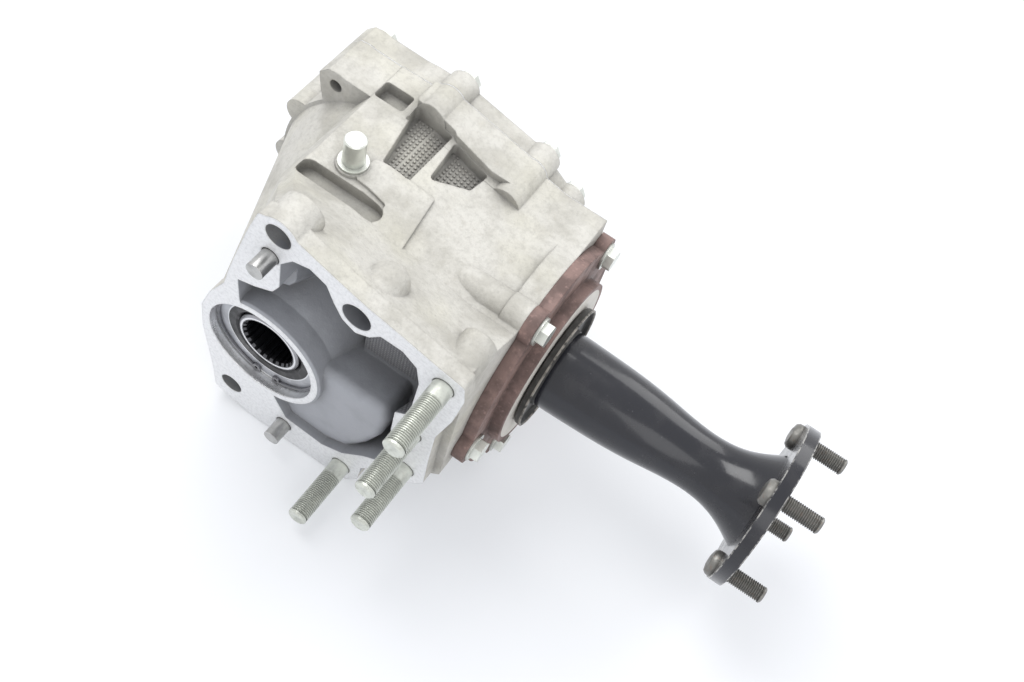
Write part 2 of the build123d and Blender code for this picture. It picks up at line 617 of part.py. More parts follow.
def oil_seal(name, plane, axis, start, end, outer_r, shaft_r):
    """Lip seal pressed in from the outside: its lips point from end to start."""
    way = 1 if end > start else -1
    lip = shaft_r + SEAL_LIP_CLEARANCE
    outline = [(start, outer_r), (end, outer_r), (end, lip + 2.2), (end - way * 1.5, lip + 0.6),
               (end - way * 2.6, lip + 1.6), (end - way * 2.6, outer_r - 4), (start + way * 1.5, outer_r - 4),
               (start, outer_r - 2.5)]
    inner = [(end - way * 2.2, lip + 1.6), (end - way * 2.2, lip + 4), (start + way * 1.2, lip + 3.0),
             (start + way * 1.2, lip + 0.8), (start + way * 3, lip)]
    with BuildPart() as seal:
        add(turned(outline, plane, axis))
        add(turned(inner, plane, axis))
    write(seal.part, name)


oil_seal("input_oil_seal", turn_input, input_axis, input_seal_y + SEAL_WIDTH, input_seal_y, INPUT_SEAL_R,
         SHAFT_SEAL_R)
oil_seal("output_side_oil_seal", turn_input, input_axis, right_seal_y, right_seal_y + SEAL_WIDTH,
         RIGHT_SEAL_R, SHAFT_SEAL_R)

# Snap ring outside the input oil seal, with a gap and two ears
with BuildPart() as snap_ring:
    with BuildSketch(xz_plane(SNAP_RING_Y)):
        Circle(INPUT_SEAL_R + SNAP_RING_DEEP)
        Circle(INPUT_SEAL_R - 1.8, mode=Mode.SUBTRACT)
        with Locations((0, -INPUT_SEAL_R)):
            Rectangle(9, 8, mode=Mode.SUBTRACT)
        with Locations((-7, -INPUT_SEAL_R + 2.6), (7, -INPUT_SEAL_R + 2.6)):
            Circle(2.6)
            Circle(1.1, mode=Mode.SUBTRACT)
    extrude(amount=-SNAP_RING_THICK)
write(snap_ring.part, "snap_ring")

# Hollow input shaft with internal splines, ring gear register and flange
with BuildPart() as shaft:
    add(turned([(SHAFT_START_Y, SHAFT_BORE_R + SPLINE_DEPTH), (SHAFT_START_Y, SHAFT_SEAL_R - 1),
                (SHAFT_START_Y + 1, SHAFT_SEAL_R), (left_bearing_y - 1, SHAFT_SEAL_R),
                (left_bearing_y - 1, SIDE_BORE_R), (left_shoulder_y, SIDE_BORE_R),
                (left_shoulder_y, SHAFT_BODY_R), (ring_back_y - RING_SEAT_LENGTH - 14, SHAFT_BODY_R),
                (ring_back_y - RING_SEAT_LENGTH, RING_SEAT_R - 2),
                (ring_back_y - RING_SEAT_LENGTH, RING_SEAT_R), (ring_back_y, RING_SEAT_R),
                (ring_back_y, SHAFT_FLANGE_R), (flange_end_y, SHAFT_FLANGE_R),
                (flange_end_y, SHAFT_BODY_R + 3), (right_bearing_y, SHAFT_BODY_R + 1),
                (right_bearing_y, SIDE_BORE_R), (right_land_y, SIDE_BORE_R), (right_land_y, SHAFT_SEAL_R),
                (shaft_end_y - 1, SHAFT_SEAL_R), (shaft_end_y, SHAFT_SEAL_R - 1),
                (shaft_end_y, SHAFT_BORE_R + SPLINE_DEPTH), (shaft_end_y - SPLINE_LENGTH, SHAFT_BORE_R),
                (SHAFT_START_Y + 1.4, SHAFT_BORE_R)], turn_input, input_axis))
    with BuildSketch(xz_plane(SHAFT_START_Y - 1)):
        with PolarLocations(SHAFT_BORE_R, SPLINE_TEETH):
            Rectangle(2 * SPLINE_DEPTH, pi * SHAFT_BORE_R / SPLINE_TEETH)
    extrude(amount=-SPLINE_LENGTH, mode=Mode.SUBTRACT)
    with BuildSketch(xz_plane(ring_back_y)):
        with PolarLocations(RING_BOLT_CIRCLE_R, RING_BOLT_COUNT):
            Circle(RING_BOLT_R + 0.25)
    extrude(amount=-SHAFT_FLANGE_THICK, mode=Mode.SUBTRACT)
write(shaft.part, "ring_gear_mounting_case")


def hex_bolts(name, seats, shank_r, shank, across, head, flange_r):
    """Hexagon flange bolts: the head stands out along each seat's normal and the shank goes back."""
    with BuildPart() as bolts:
        for seat in seats:
            add(bar(Plane(origin=seat.origin, x_dir=seat.x_dir, z_dir=-seat.z_dir), shank_r, shank))
            with BuildSketch(seat):
                Circle(flange_r)
            extrude(amount=1.5)
            with BuildSketch(seat.offset(1.5)):
                RegularPolygon(across / 2, 6, major_radius=False)
            extrude(amount=head - 1.5)
    write(bolts.part, name)


ring_bolt_angles = [2 * pi * k / RING_BOLT_COUNT for k in range(RING_BOLT_COUNT)]
ring_bolt_seats = [toward_y(RING_BOLT_CIRCLE_R * cos(turn), flange_end_y, RING_BOLT_CIRCLE_R * sin(turn))
                   for turn in ring_bolt_angles]
hex_bolts("ring_gear_bolts", ring_bolt_seats, RING_BOLT_R, SHAFT_FLANGE_THICK + RING_BOLT_DEPTH, 14, 6.5, 7.9)
cover_bolt_seats = [toward_y(x, cover_flange_end_y, z) for x, z in COVER_BOLTS]
cover_shank = COVER_FLANGE_THICK + COVER_BOLT_DEPTH
hex_bolts("cover_bolts", cover_bolt_seats, M8_R, cover_shank, M8_HEX, M8_HEAD, M8_FLANGE_R)
retainer_bolt_seats = [toward_x(retainer_face_x, APEX_Y + y, z) for y, z in retainer_bolts]
retainer_shank = RETAINER_THICK + RETAINER_BOLT_DEPTH
hex_bolts("retainer_bolts", retainer_bolt_seats, M8_R, retainer_shank, M8_HEX, M8_HEAD, M8_FLANGE_R)

# Side bearings and their shims
tapered_bearing("left_bearing", turn_input, input_axis, left_bearing_y, 1, SIDE_BORE_R, SIDE_OUTER_R,
                SIDE_WIDTH)
tapered_bearing("right_bearing", turn_input, input_axis, right_bearing_y, -1, SIDE_BORE_R, SIDE_OUTER_R,
                SIDE_WIDTH)
write(turned([(left_shim_y, SIDE_OUTER_R), (left_bearing_y, SIDE_OUTER_R), (left_bearing_y, SIDE_OUTER_R - 4),
              (left_shim_y, SIDE_OUTER_R - 4)], turn_input, input_axis), "left_bearing_shim")
write(turned([(right_shim_y, SIDE_OUTER_R), (right_land_y, SIDE_OUTER_R), (right_land_y, SIDE_OUTER_R - 4),
              (right_shim_y, SIDE_OUTER_R - 4)], turn_input, input_axis), "right_bearing_shim")

# Pinion bearing retainer: lobed plate, scalloped hub, spigot with both cup seats, O-ring groove
with BuildPart() as retainer:
    with BuildSketch(yz_plane(CASE_END_X)):
        Circle(RETAINER_PLATE_R)
        with Locations(*retainer_bolts):
            Circle(RETAINER_LOBE_R)
    extrude(amount=RETAINER_THICK)
    with BuildSketch(yz_plane(retainer_face_x)):
        Circle(RETAINER_HUB_R)
    extrude(amount=RETAINER_HUB_HEIGHT)
    add(turned([(SPIGOT_START_X, 0), (SPIGOT_START_X, SPIGOT_R - 1), (SPIGOT_START_X + 1, SPIGOT_R),
                (o_ring_x - 2, SPIGOT_R), (o_ring_x - 2, SPIGOT_R - 2.4), (o_ring_x + 2, SPIGOT_R - 2.4),
                (o_ring_x + 2, SPIGOT_R), (CASE_END_X, SPIGOT_R), (CASE_END_X, 0)], turn_output, output_axis))
    add(turned([(SPIGOT_START_X - 1, 0), (SPIGOT_START_X - 1, REAR_OUTER_R),
                (rear_bearing_end_x, REAR_OUTER_R), (rear_bearing_end_x, SPIGOT_LAND_R),
                (front_bearing_x, SPIGOT_LAND_R),
                (front_bearing_x, FRONT_OUTER_R), (FRONT_BEARING_END_X, FRONT_OUTER_R),
                (FRONT_BEARING_END_X, PINION_SEAL_R), (hub_face_x + 1, PINION_SEAL_R), (hub_face_x + 1, 0)],
               turn_output, output_axis), mode=Mode.SUBTRACT)
    for y, z in retainer_bolts:
        add(bar(toward_x(CASE_END_X - 1, APEX_Y + y, z), M8_R + 0.5, RETAINER_THICK + 2), mode=Mode.SUBTRACT)
write(retainer.part, "bearing_retainer")

with BuildPart() as o_ring:
    with BuildSketch(turn_output):
        with Locations((o_ring_x, SPIGOT_R - 1.2)):
            Ellipse(1.6, 1.2)
    revolve(axis=output_axis)
write(o_ring.part, "retainer_o_ring")

oil_seal("pinion_oil_seal", turn_output, output_axis, FRONT_BEARING_END_X, hub_face_x, PINION_SEAL_R,
         FLANGE_HUB_R)
tapered_bearing("rear_bearing", turn_output, output_axis, rear_bearing_x, -1, REAR_BORE_R, REAR_OUTER_R,
                REAR_WIDTH)
tapered_bearing("front_bearing", turn_output, output_axis, front_bearing_x, 1, FRONT_BORE_R, FRONT_OUTER_R,
                FRONT_WIDTH)
write(turned([(PINION_HEAD_BACK_X, REAR_BORE_R), (PINION_HEAD_BACK_X, PINION_SHOULDER_R),
              (rear_bearing_x, PINION_SHOULDER_R), (rear_bearing_x, REAR_BORE_R)], turn_output, output_axis),
      "pinion_shim")
spacer_start = cone_starts["rear_bearing"]
spacer_end = cone_starts["front_bearing"]
spacer_middle = (spacer_start + spacer_end) / 2
write(turned([(spacer_start, FRONT_BORE_R + 0.3), (spacer_start, FRONT_BORE_R + 3.3),
              (spacer_middle - 2, FRONT_BORE_R + 3.3), (spacer_middle, FRONT_BORE_R + 5.3),
              (spacer_middle + 2, FRONT_BORE_R + 3.3), (spacer_end, FRONT_BORE_R + 3.3),
              (spacer_end, FRONT_BORE_R + 0.3), (spacer_middle + 2, FRONT_BORE_R + 0.3),
              (spacer_middle, FRONT_BORE_R + 2.3), (spacer_middle - 2, FRONT_BORE_R + 0.3)],
             turn_output, output_axis), "collapsible_spacer")

# Companion flange
nut_seat_x = FRONT_BEARING_END_X + FLANGE_HUB_LENGTH
flange_back_x = FLANGE_FACE_X - FLANGE_THICK
stud_angle = radians(FLANGE_STUD_ANGLE)
stud_circle_r = FLANGE_STUD_PCD / 2
flange_studs = [(stud_circle_r * cos(stud_angle + k * pi / 2), stud_circle_r * sin(stud_angle + k * pi / 2))
                for k in range(4)]
with BuildPart() as flange:
    with BuildSketch(turn_output):
        with BuildLine():
            Polyline((flange_back_x, FLANGE_FLARE_R), (flange_back_x, 0), (FRONT_BEARING_END_X, 0),
                     (FRONT_BEARING_END_X, FLANGE_HUB_R), (deflector_x - 0.5, FLANGE_HUB_R),
                     (deflector_x - 0.5, FLANGE_TUBE_R - 1.5), (deflector_x + 4, FLANGE_TUBE_R - 1.5),
                     (deflector_x + 4, FLANGE_TUBE_R), (deflector_x + 12, FLANGE_TUBE_R))
            Spline((deflector_x + 12, FLANGE_TUBE_R),
                   ((deflector_x + FLANGE_NECK_X) / 2 + 12, FLANGE_NECK_R + 3.4),
                   (FLANGE_NECK_X, FLANGE_NECK_R), (flange_back_x - 14.5, FLANGE_NECK_R + 4.1),
                   (flange_back_x, FLANGE_FLARE_R), tangents=[(1, -0.03), (1, 0.7)])
        make_face()
    revolve(axis=output_axis)
    with BuildSketch(yz_plane(flange_back_x)):
        Circle(FLANGE_R)
    extrude(amount=FLANGE_THICK)
    add(turned([(FRONT_BEARING_END_X - 1, 0), (FRONT_BEARING_END_X - 1, PINION_SPLINE_R),
                (nut_seat_x, PINION_SPLINE_R), (nut_seat_x, FLANGE_BORE_R),
                (FLANGE_FACE_X - FLANGE_PILOT_DEPTH - 8, FLANGE_BORE_R),
                (FLANGE_FACE_X - FLANGE_PILOT_DEPTH, FLANGE_PILOT_R), (FLANGE_FACE_X + 1, FLANGE_PILOT_R),
                (FLANGE_FACE_X + 1, 0)], turn_output, output_axis), mode=Mode.SUBTRACT)
    with BuildSketch(yz_plane(flange_back_x - 30)):
        with Locations(*flange_studs):
            Circle(FLANGE_STUD_HEAD_R + 1)
    extrude(amount=30, mode=Mode.SUBTRACT)
    with BuildSketch(yz_plane(flange_back_x - 1)):
        with Locations(*flange_studs):
            Circle(FLANGE_STUD_SEAT_R)
    extrude(amount=FLANGE_THICK + 2, mode=Mode.SUBTRACT)
write(flange.part, "companion_flange")

with BuildPart() as studs:
    with BuildSketch(yz_plane(flange_back_x - FLANGE_STUD_HEAD)):
        with Locations(*flange_studs):
            Circle(FLANGE_STUD_HEAD_R)
    extrude(amount=FLANGE_STUD_HEAD)
    with BuildSketch(yz_plane(flange_back_x)):
        with Locations(*flange_studs):
            Circle(FLANGE_STUD_SEAT_R)
    extrude(amount=FLANGE_THICK)
    with BuildSketch(yz_plane(FLANGE_FACE_X)):
        with Locations(*flange_studs):
            Circle(FLANGE_STUD_R)
    extrude(amount=FLANGE_STUD_OUT)
write(studs.part, "flange_studs")

write(turned([(deflector_x, FLANGE_TUBE_R - 1.5), (deflector_x, DEFLECTOR_R),
              (deflector_x + 5, DEFLECTOR_R + 1), (deflector_x + 5, DEFLECTOR_R - 0.2),
              (deflector_x + 1.2, DEFLECTOR_R - 1.2),
              (deflector_x + 1.2, FLANGE_TUBE_R + 1.5), (deflector_x + 4, FLANGE_TUBE_R + 0.5),
              (deflector_x + 4, FLANGE_TUBE_R - 1.5)], turn_output, output_axis), "dust_deflector")

# Pinion nut and washer, in the tube of the flange
write(turned([(nut_seat_x, PINION_THREAD_R + 0.3), (nut_seat_x, FLANGE_BORE_R - 1),
              (nut_seat_x + 3, FLANGE_BORE_R - 1), (nut_seat_x + 3, PINION_THREAD_R + 0.3)],
             turn_output, output_axis), "pinion_washer")
with BuildPart() as nut:
    with BuildSketch(yz_plane(nut_seat_x + 3)):
        RegularPolygon(PINION_NUT_HEX / 2, 6, major_radius=False)
        Circle(PINION_THREAD_R, mode=Mode.SUBTRACT)
    extrude(amount=PINION_NUT_THICK)
write(nut.part, "pinion_nut")

# Case studs, dowels, breather and plugs
with BuildPart() as case_studs:
    for x, z in CASE_STUDS:
        add(bar(toward_y(x, -CASE_STUD_OUT, z), CASE_STUD_R, CASE_STUD_OUT))
        add(bar(toward_y(x, 0, z), CASE_STUD_FOOT_R, CASE_STUD_IN))
write(case_studs.part, "case_studs")
with BuildPart() as dowels:
    for x, z in DOWELS:
        add(bar(toward_y(x, -DOWEL_OUT, z), DOWEL_R, DOWEL_OUT))
        add(bar(toward_y(x, 0, z), DOWEL_FOOT_R, DOWEL_IN))
write(dowels.part, "case_dowels")

breather_seat_z = TOP_Z + BREATHER_BOSS
with BuildPart() as breather:
    add(bar(Plane(origin=(*BREATHER_AT, breather_seat_z - 11)), BREATHER_STEM_R, 11))
    add(bar(Plane(origin=(*BREATHER_AT, breather_seat_z)), BREATHER_WASHER_R, 1.6))
    add(bar(Plane(origin=(*BREATHER_AT, breather_seat_z + 1.6)), BREATHER_R, BREATHER_HEIGHT - 1.6))
    chamfer(breather.edges().group_by(Axis.Z)[-1], 0.8)
write(breather.part, "breather_plug")

for name, (x, z) in (("fill_plug", FILL_PLUG_AT), ("drain_plug", DRAIN_PLUG_AT)):
    seat = Plane(origin=(x, plug_seat_y, z), x_dir=(1, 0, 0), z_dir=(0, 1, 0))
    with BuildPart() as gasket:
        with BuildSketch(seat):
            Circle(PLUG_FLANGE_R)
            Circle(PLUG_R + 0.3, mode=Mode.SUBTRACT)
        extrude(amount=GASKET_THICK)
    write(gasket.part, name + "_gasket")
    with BuildPart() as plug:
        add(bar(Plane(origin=(x, plug_seat_y - PLUG_LENGTH, z), z_dir=(0, 1, 0)), PLUG_R, PLUG_LENGTH + 1))
        with BuildSketch(seat.offset(GASKET_THICK)):
            Circle(PLUG_FLANGE_R)
        extrude(amount=2.5)
        with BuildSketch(seat.offset(GASKET_THICK + 2.5)):
            RegularPolygon(PLUG_HEX / 2, 6, major_radius=False)
        extrude(amount=6)
    write(plug.part, name)


# Spiral bevel gears. Both flanks are spherical involutes turned by a logarithmic spiral, the pinion's
# by the matching angle the other way, so that the two gears are conjugate at every cone distance.
ring_cone = atan(RING_TEETH / PINION_TEETH)
pinion_cone = pi / 2 - ring_cone
CONE_DISTANCE = RING_PITCH_R / sin(ring_cone)
MODULE = 2 * RING_PITCH_R / RING_TEETH
middle_distance = CONE_DISTANCE - GEAR_FACE / 2


def involute_azimuth(polar, base):
    """Azimuth of a spherical involute, from where it leaves the base cone."""
    if polar <= base:
        return 0.0
    return acos(cos(polar) / cos(base)) / sin(base) - acos(min(1.0, tan(base) / tan(polar)))


def tooth_space(teeth, cone, addendum, dedendum, shift, spiral, frame):
    """Cutter for one tooth space, lofted through sections square to the pitch cone's element."""
    base = asin_of(sin(cone) * cos(radians(PRESSURE_ANGLE)))
    unit = MODULE / CONE_DISTANCE
    root = cone - dedendum * unit
    over = cone + (addendum + 0.25) * unit
    width = MODULE * (pi / 2 + 2 * shift * tan(radians(PRESSURE_ANGLE))) - GEAR_BACKLASH / 2
    half_tooth = width / (2 * CONE_DISTANCE * sin(cone))
    at_pitch = involute_azimuth(cone, base)
    steps = 5

    def point(distance, polar, side):
        gap = pi / teeth - (half_tooth + at_pitch - involute_azimuth(polar, base))
        reach = distance
        for _ in range(12):
            azimuth = side * gap + spiral * log(reach / middle_distance)
            toward = cos(cone) * cos(polar) + sin(cone) * sin(polar) * cos(azimuth)
            reach = distance / toward
        across = cos(cone) * sin(polar) * cos(azimuth) - sin(cone) * cos(polar)
        return (reach * across, reach * sin(polar) * sin(azimuth))

    axis, toward_mate = frame
    element = toward_mate * sin(cone) + axis * cos(cone)
    outward = toward_mate * cos(cone) - axis * sin(cone)
    polars = [root + (over - root) * k / steps for k in range(steps + 1)]
    with BuildPart() as cutter:
        for k in range(4):
            distance = CONE_DISTANCE - GEAR_FACE - 6 + (GEAR_FACE + 14) * k / 3
            centre = Vector(0, APEX_Y, 0) + element * distance
            with BuildSketch(Plane(origin=centre, x_dir=outward, z_dir=element)):
                with BuildLine():
                    low = [point(distance, polar, -1) for polar in polars]
                    high = [point(distance, polar, 1) for polar in polars]
                    Spline(*low)
                    Line(low[-1], high[-1])
                    Spline(*reversed(high))
                    Line(high[0], low[0])
                make_face()
        loft()
    return cutter.part


def asin_of(value):
    return pi / 2 - acos(value)


def bevel_teeth(blank, cutter, teeth, axis):
    """Blank with a tooth space cut at every pitch."""
    with BuildPart() as gear:
        add(blank)
        add([cutter.rotate(axis, 360 * k / teeth) for k in range(teeth)], mode=Mode.SUBTRACT)
    return gear.part


def cone_point(distance, polar):
    """(along the axis, radius) of a point on a cone about the gear's own axis."""
    return (distance * cos(polar), distance * sin(polar))


ring_frame = (Vector(0, 1, 0), Vector(1, 0, 0))
pinion_frame = (Vector(1, 0, 0), Vector(0, 1, 0))
ring_dedendum = PINION_ADDENDUM + ROOT_CLEARANCE
pinion_dedendum = RING_ADDENDUM + ROOT_CLEARANCE
spiral_rate = tan(radians(SPIRAL_ANGLE)) / sin(ring_cone)
tooth_unit = MODULE / CONE_DISTANCE
toe_distance = CONE_DISTANCE - GEAR_FACE


def back_cone(distance, cone, offset):
    """Point on the end face of the teeth, square to the pitch cone, offset out from the pitch line."""
    return (distance * cos(cone) - offset * sin(cone), distance * sin(cone) + offset * cos(cone))


def face_point(distance, cone, polar):
    """Where the end face of the teeth meets the cone at a polar angle."""
    return cone_point(distance / cos(polar - cone), polar)


ring_tip = ring_cone + RING_ADDENDUM * tooth_unit
ring_root = ring_cone - ring_dedendum * tooth_unit
pinion_tip = pinion_cone + PINION_ADDENDUM * tooth_unit
pinion_root = pinion_cone - pinion_dedendum * tooth_unit


def from_apex(points, start):
    return [(start + along, radius) for along, radius in points]


# Ring gear
heel = face_point(CONE_DISTANCE, ring_cone, ring_tip)
toe = face_point(toe_distance, ring_cone, ring_tip)
toe_root = face_point(toe_distance, ring_cone, ring_root)
ring_outline = from_apex(
    [heel, toe, toe_root, (toe_root[0] + 2, RING_SEAT_R), (RING_BACK, RING_SEAT_R),
     (RING_BACK, heel[1] - 1.5), (heel[0] + 4, heel[1] - 1.0)], APEX_Y)
ring_blank = turned(ring_outline, turn_input, input_axis)
ring_cutter = tooth_space(RING_TEETH, ring_cone, RING_ADDENDUM, ring_dedendum, -PROFILE_SHIFT,
                          spiral_rate, ring_frame)
with BuildPart() as tapped_blank:
    add(ring_blank)
    with BuildSketch(xz_plane(ring_back_y)):
        with PolarLocations(RING_BOLT_CIRCLE_R, RING_BOLT_COUNT):
            Circle(RING_BOLT_R)
    extrude(amount=RING_BOLT_DEPTH, mode=Mode.SUBTRACT)
ring_gear = bevel_teeth(tapped_blank.part, ring_cutter, RING_TEETH, input_axis)
write(ring_gear, "ring_gear")

# Drive pinion
p_heel = face_point(CONE_DISTANCE, pinion_cone, pinion_tip)
p_toe = face_point(toe_distance, pinion_cone, pinion_tip)
p_toe_root = face_point(toe_distance, pinion_cone, pinion_root)
p_heel_root = face_point(CONE_DISTANCE, pinion_cone, pinion_root)
pinion_end_x = nut_seat_x + 3 + PINION_NUT_THICK + 3
pinion_outline = [
    (p_toe_root[0] + 1, 0), (p_toe_root[0] + 1, p_toe_root[1] - 2.5), p_toe_root, p_toe, p_heel,
    p_heel_root, (PINION_HEAD_BACK_X, PINION_SHOULDER_R), (PINION_HEAD_BACK_X, REAR_BORE_R),
    (cone_starts["rear_bearing"] - 0.5, REAR_BORE_R), (cone_starts["rear_bearing"] - 0.5, FRONT_BORE_R),
    (FRONT_BEARING_END_X - 0.5, FRONT_BORE_R), (FRONT_BEARING_END_X - 0.5, PINION_SPLINE_R),
    (nut_seat_x - 1, PINION_SPLINE_R), (nut_seat_x - 1, PINION_THREAD_R),
    (pinion_end_x - 1, PINION_THREAD_R), (pinion_end_x, PINION_THREAD_R - 1), (pinion_end_x, 0)]
pinion_blank = turned(pinion_outline, turn_output, output_axis)
pinion_cutter = tooth_space(PINION_TEETH, pinion_cone, PINION_ADDENDUM, pinion_dedendum, PROFILE_SHIFT,
                            -spiral_rate * RING_TEETH / PINION_TEETH, pinion_frame)
pinion_cutter = pinion_cutter.rotate(output_axis, 180 / PINION_TEETH)
pinion = bevel_teeth(pinion_blank, pinion_cutter, PINION_TEETH, output_axis)
write(pinion, "drive_pinion")
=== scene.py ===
import math

import bpy
from mathutils import Matrix, Vector


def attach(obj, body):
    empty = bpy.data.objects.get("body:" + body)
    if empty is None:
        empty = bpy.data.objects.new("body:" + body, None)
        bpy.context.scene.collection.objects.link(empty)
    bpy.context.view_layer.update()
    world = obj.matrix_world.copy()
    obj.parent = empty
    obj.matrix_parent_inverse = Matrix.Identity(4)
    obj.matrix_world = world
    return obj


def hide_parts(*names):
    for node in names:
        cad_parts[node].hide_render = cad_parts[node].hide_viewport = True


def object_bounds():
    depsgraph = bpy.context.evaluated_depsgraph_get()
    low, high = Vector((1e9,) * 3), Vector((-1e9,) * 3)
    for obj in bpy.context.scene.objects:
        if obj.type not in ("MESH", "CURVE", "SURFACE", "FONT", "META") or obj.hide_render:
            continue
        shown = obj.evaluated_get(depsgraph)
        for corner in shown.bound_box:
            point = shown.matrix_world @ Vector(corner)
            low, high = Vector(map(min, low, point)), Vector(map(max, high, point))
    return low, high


bl_info = {
    "name": "Transfer case",
    "version": (1, 0, 0),
    "blender": (4, 5, 0),
    "location": "View3D > Sidebar > Transfer case",
    "description": "Finishes, threads and cast details of a transfer case with a bevel gear pair",
    "category": "Object",
}

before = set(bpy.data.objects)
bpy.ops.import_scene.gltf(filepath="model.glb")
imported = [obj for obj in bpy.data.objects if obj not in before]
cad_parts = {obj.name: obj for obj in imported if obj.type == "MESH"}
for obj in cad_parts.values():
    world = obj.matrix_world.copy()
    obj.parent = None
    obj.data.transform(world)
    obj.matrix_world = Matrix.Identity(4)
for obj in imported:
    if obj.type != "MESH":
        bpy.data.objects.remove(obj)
CAD_LOW, CAD_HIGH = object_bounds()
MM = 0.001
TURN = 2 * math.pi
APEX_Y = 0.098
CASE_STUDS = ((0.1086, 0.0848), (0.0988, 0.0244), (0.1000, -0.0171), (0.0609, -0.0654))
CASE_STUD_R = 0.006
CASE_STUD_FOOT_R = 0.0055
CASE_STUD_OUT = 0.0418
CASE_STUD_IN = 0.020
POCKET_FLOORS = [[(-0.0020, 0.1350), (0.0240, 0.1330), (0.0235, 0.0910), (0.0065, 0.0910)],
                 [(0.0270, 0.1310), (0.0520, 0.1280), (0.0500, 0.1130), (0.0300, 0.1010)]]
FLOOR_Z = 0.078
FLOOR_BEND_X = 0.012
FLOOR_FALL = 18.0 / 78.0
HUB_FACE_X = 0.1315
DEFLECTOR_X = 0.1323
DEFLECTOR_R = 0.0390
TUBE_R = 0.0245
FLANGE_FACE_X = 0.2785
FLANGE_THICK = 0.008
FLANGE_STUD_R = 0.005
FLANGE_STUD_SEAT_R = 0.0056
FLANGE_STUD_HEAD_R = 0.008
FLANGE_STUD_OUT = 0.0225
FLANGE_STUD_CIRCLE_R = 0.042425
FLANGE_STUD_TURN = math.radians(22.9)
# Shares of a thread's pitch.
THREAD_DEPTH = 0.60
THREAD_CREST = 0.16
THREAD_ROOT = 0.12
CORE_DEPTH = 0.62
# How far the thread and the plain end stay under the stud's full radius.
THREAD_UNDER = 0.00005
END_UNDER = 0.0001
# Shares of a cast square's side or height.
SQUARE_FOOT = 0.78
SQUARE_TOP = 0.52
SQUARE_SUNK = 1.5
SQUARE_MARGIN = 0.7

# Places that the finishes tell apart, in millimetres.
M_TO_MM = 1000.0
AXIS_Y = APEX_Y * M_TO_MM
ON_FACE = 0.25
JOINT_Y = 154.0
BORE_R = 37.5
BORE_DEPTH = 13.5
UPPER_HOLE = (56.5, 94.3, 8.9)
FACE_HOLES = ((9.0, 116.5, 8.0), (-20.0, -58.0, 7.6), UPPER_HOLE)
FACE_HOLE_DEPTH = 31.0
RECESS_X = (-16.0, 98.0)
RECESS_DEPTH = 52.0
RECESS_LOW_Z = -59.5
FLANK_LOW_Z = 58.0
FLANK_LEAN = 0.45
ROOF_Z = 112.0
ROOF_FALL = 0.7
ROOF_BEND_X = 38.0
ROOF_SIDE_FALL = 0.25
POCKET_X = (-3.5, 53.0)
POCKET_Y = (90.0, 136.0)
POCKET_LOW_Z = 58.0
WAFFLE_X = (44.0, 97.0)
WAFFLE_Y = (2.0, 50.0)
WAFFLE_LOW_Z = 18.0
WAFFLE_RATE = 1.7
WAFFLE_RATE_Y = 1.25
SPLINE_R = 17.9
SPLINE_EDGE_R = 19.0
SPLINE_MOUTH_Y = 8.4
SEAL_CASE_R = 27.6
SEAL_EDGE_R = 28.3
SEAL_BACK_Y = 20.0
RETAINER_HUB_R = 50.5
DISC_RIM_R = 50.2
DISC_CONE_R = 34.0

WARM_STAIN = (0.62, 0.60, 0.50)
SPOT = (0.42, 0.39, 0.33)
# Painted highlight on the raised dots of the recess's back wall.
DOT_HIGHLIGHT = (0.50, 0.47, 0.46)
RUST = (0.24, 0.12, 0.07)
THREAD_RUST = (0.24, 0.13, 0.08)
PAINT_DUST = (0.032, 0.031, 0.034)
PAINT_SPECK = (0.20, 0.20, 0.21)
PAINT_CORNER = (0.08, 0.075, 0.07)
PAINT_HANDLED = (0.17, 0.16, 0.15)
PAINT_CHIP = (0.34, 0.33, 0.31)
IRON_OIL = (0.14, 0.095, 0.085)
# Painted shade in the retainer's corners.
IRON_CORNER_SHADE = (0.035, 0.025, 0.022)
PRESSING = (0.035, 0.034, 0.033)
PRESSING_EDGE = (0.30, 0.28, 0.25)
DARK_PLATE = (0.50, 0.50, 0.49)
DULL_PLATE = (0.52, 0.52, 0.47)
STUD_PLATE = (0.64, 0.66, 0.60)
DARK_STUD = (0.235, 0.23, 0.215)
GROUND_STEEL = (0.68, 0.69, 0.71)
PRESSED_STEEL = (0.42, 0.42, 0.43)
GEAR_STEEL = (0.34, 0.34, 0.35)
TURNED_STEEL = (0.36, 0.36, 0.38)
# Painted highlight round the mouth of the shaft's splined bore.
MOUTH_HIGHLIGHT = (0.78, 0.78, 0.80)
# Painted shade inside the shaft's splined bore.
BORE_SHADE = (0.030, 0.031, 0.036)
SPRING_STEEL = (0.30, 0.30, 0.32)
SOFT_METAL = (0.72, 0.72, 0.73)
RUBBER = (0.018, 0.018, 0.02)
RUBBER_FILM = (0.10, 0.10, 0.105)
SEAL_LIP = (0.012, 0.012, 0.014)
SEAL_LIP_FILM = (0.05, 0.05, 0.055)
SEAL_CASE = (0.52, 0.53, 0.56)
# Painted highlight on the inner edge of the seal's case.
SEAL_EDGE = (0.75, 0.76, 0.78)

FLOOR_SIZE = 12
FLOOR_PLACE = (0.1, 0.05)
FLOOR_GAP = 0.0005
FLOOR_COLOUR = (0.90, 0.90, 0.91)
FLOOR_GLOW = (0.93, 0.96, 1.0)
GLOW_SHARE = 0.42
GLOW_NEAR = 450.0
GLOW_FADE = 1100.0
WHITE = (1.0, 1.0, 1.0)
SKY_COLOUR = (0.93, 0.95, 1.0)
SKY_STRENGTH = 0.75
# Name, place, side and power of each lamp.
LAMPS = (("key", (-0.55, 0.35, 1.35), 0.9, 13.0),
         ("fill", (0.9, -0.9, 0.9), 1.2, 6.0),
         ("rim", (0.5, 1.1, 0.8), 0.8, 5.0))
LAMP_AIM = (0.08, 0.07, 0.0)
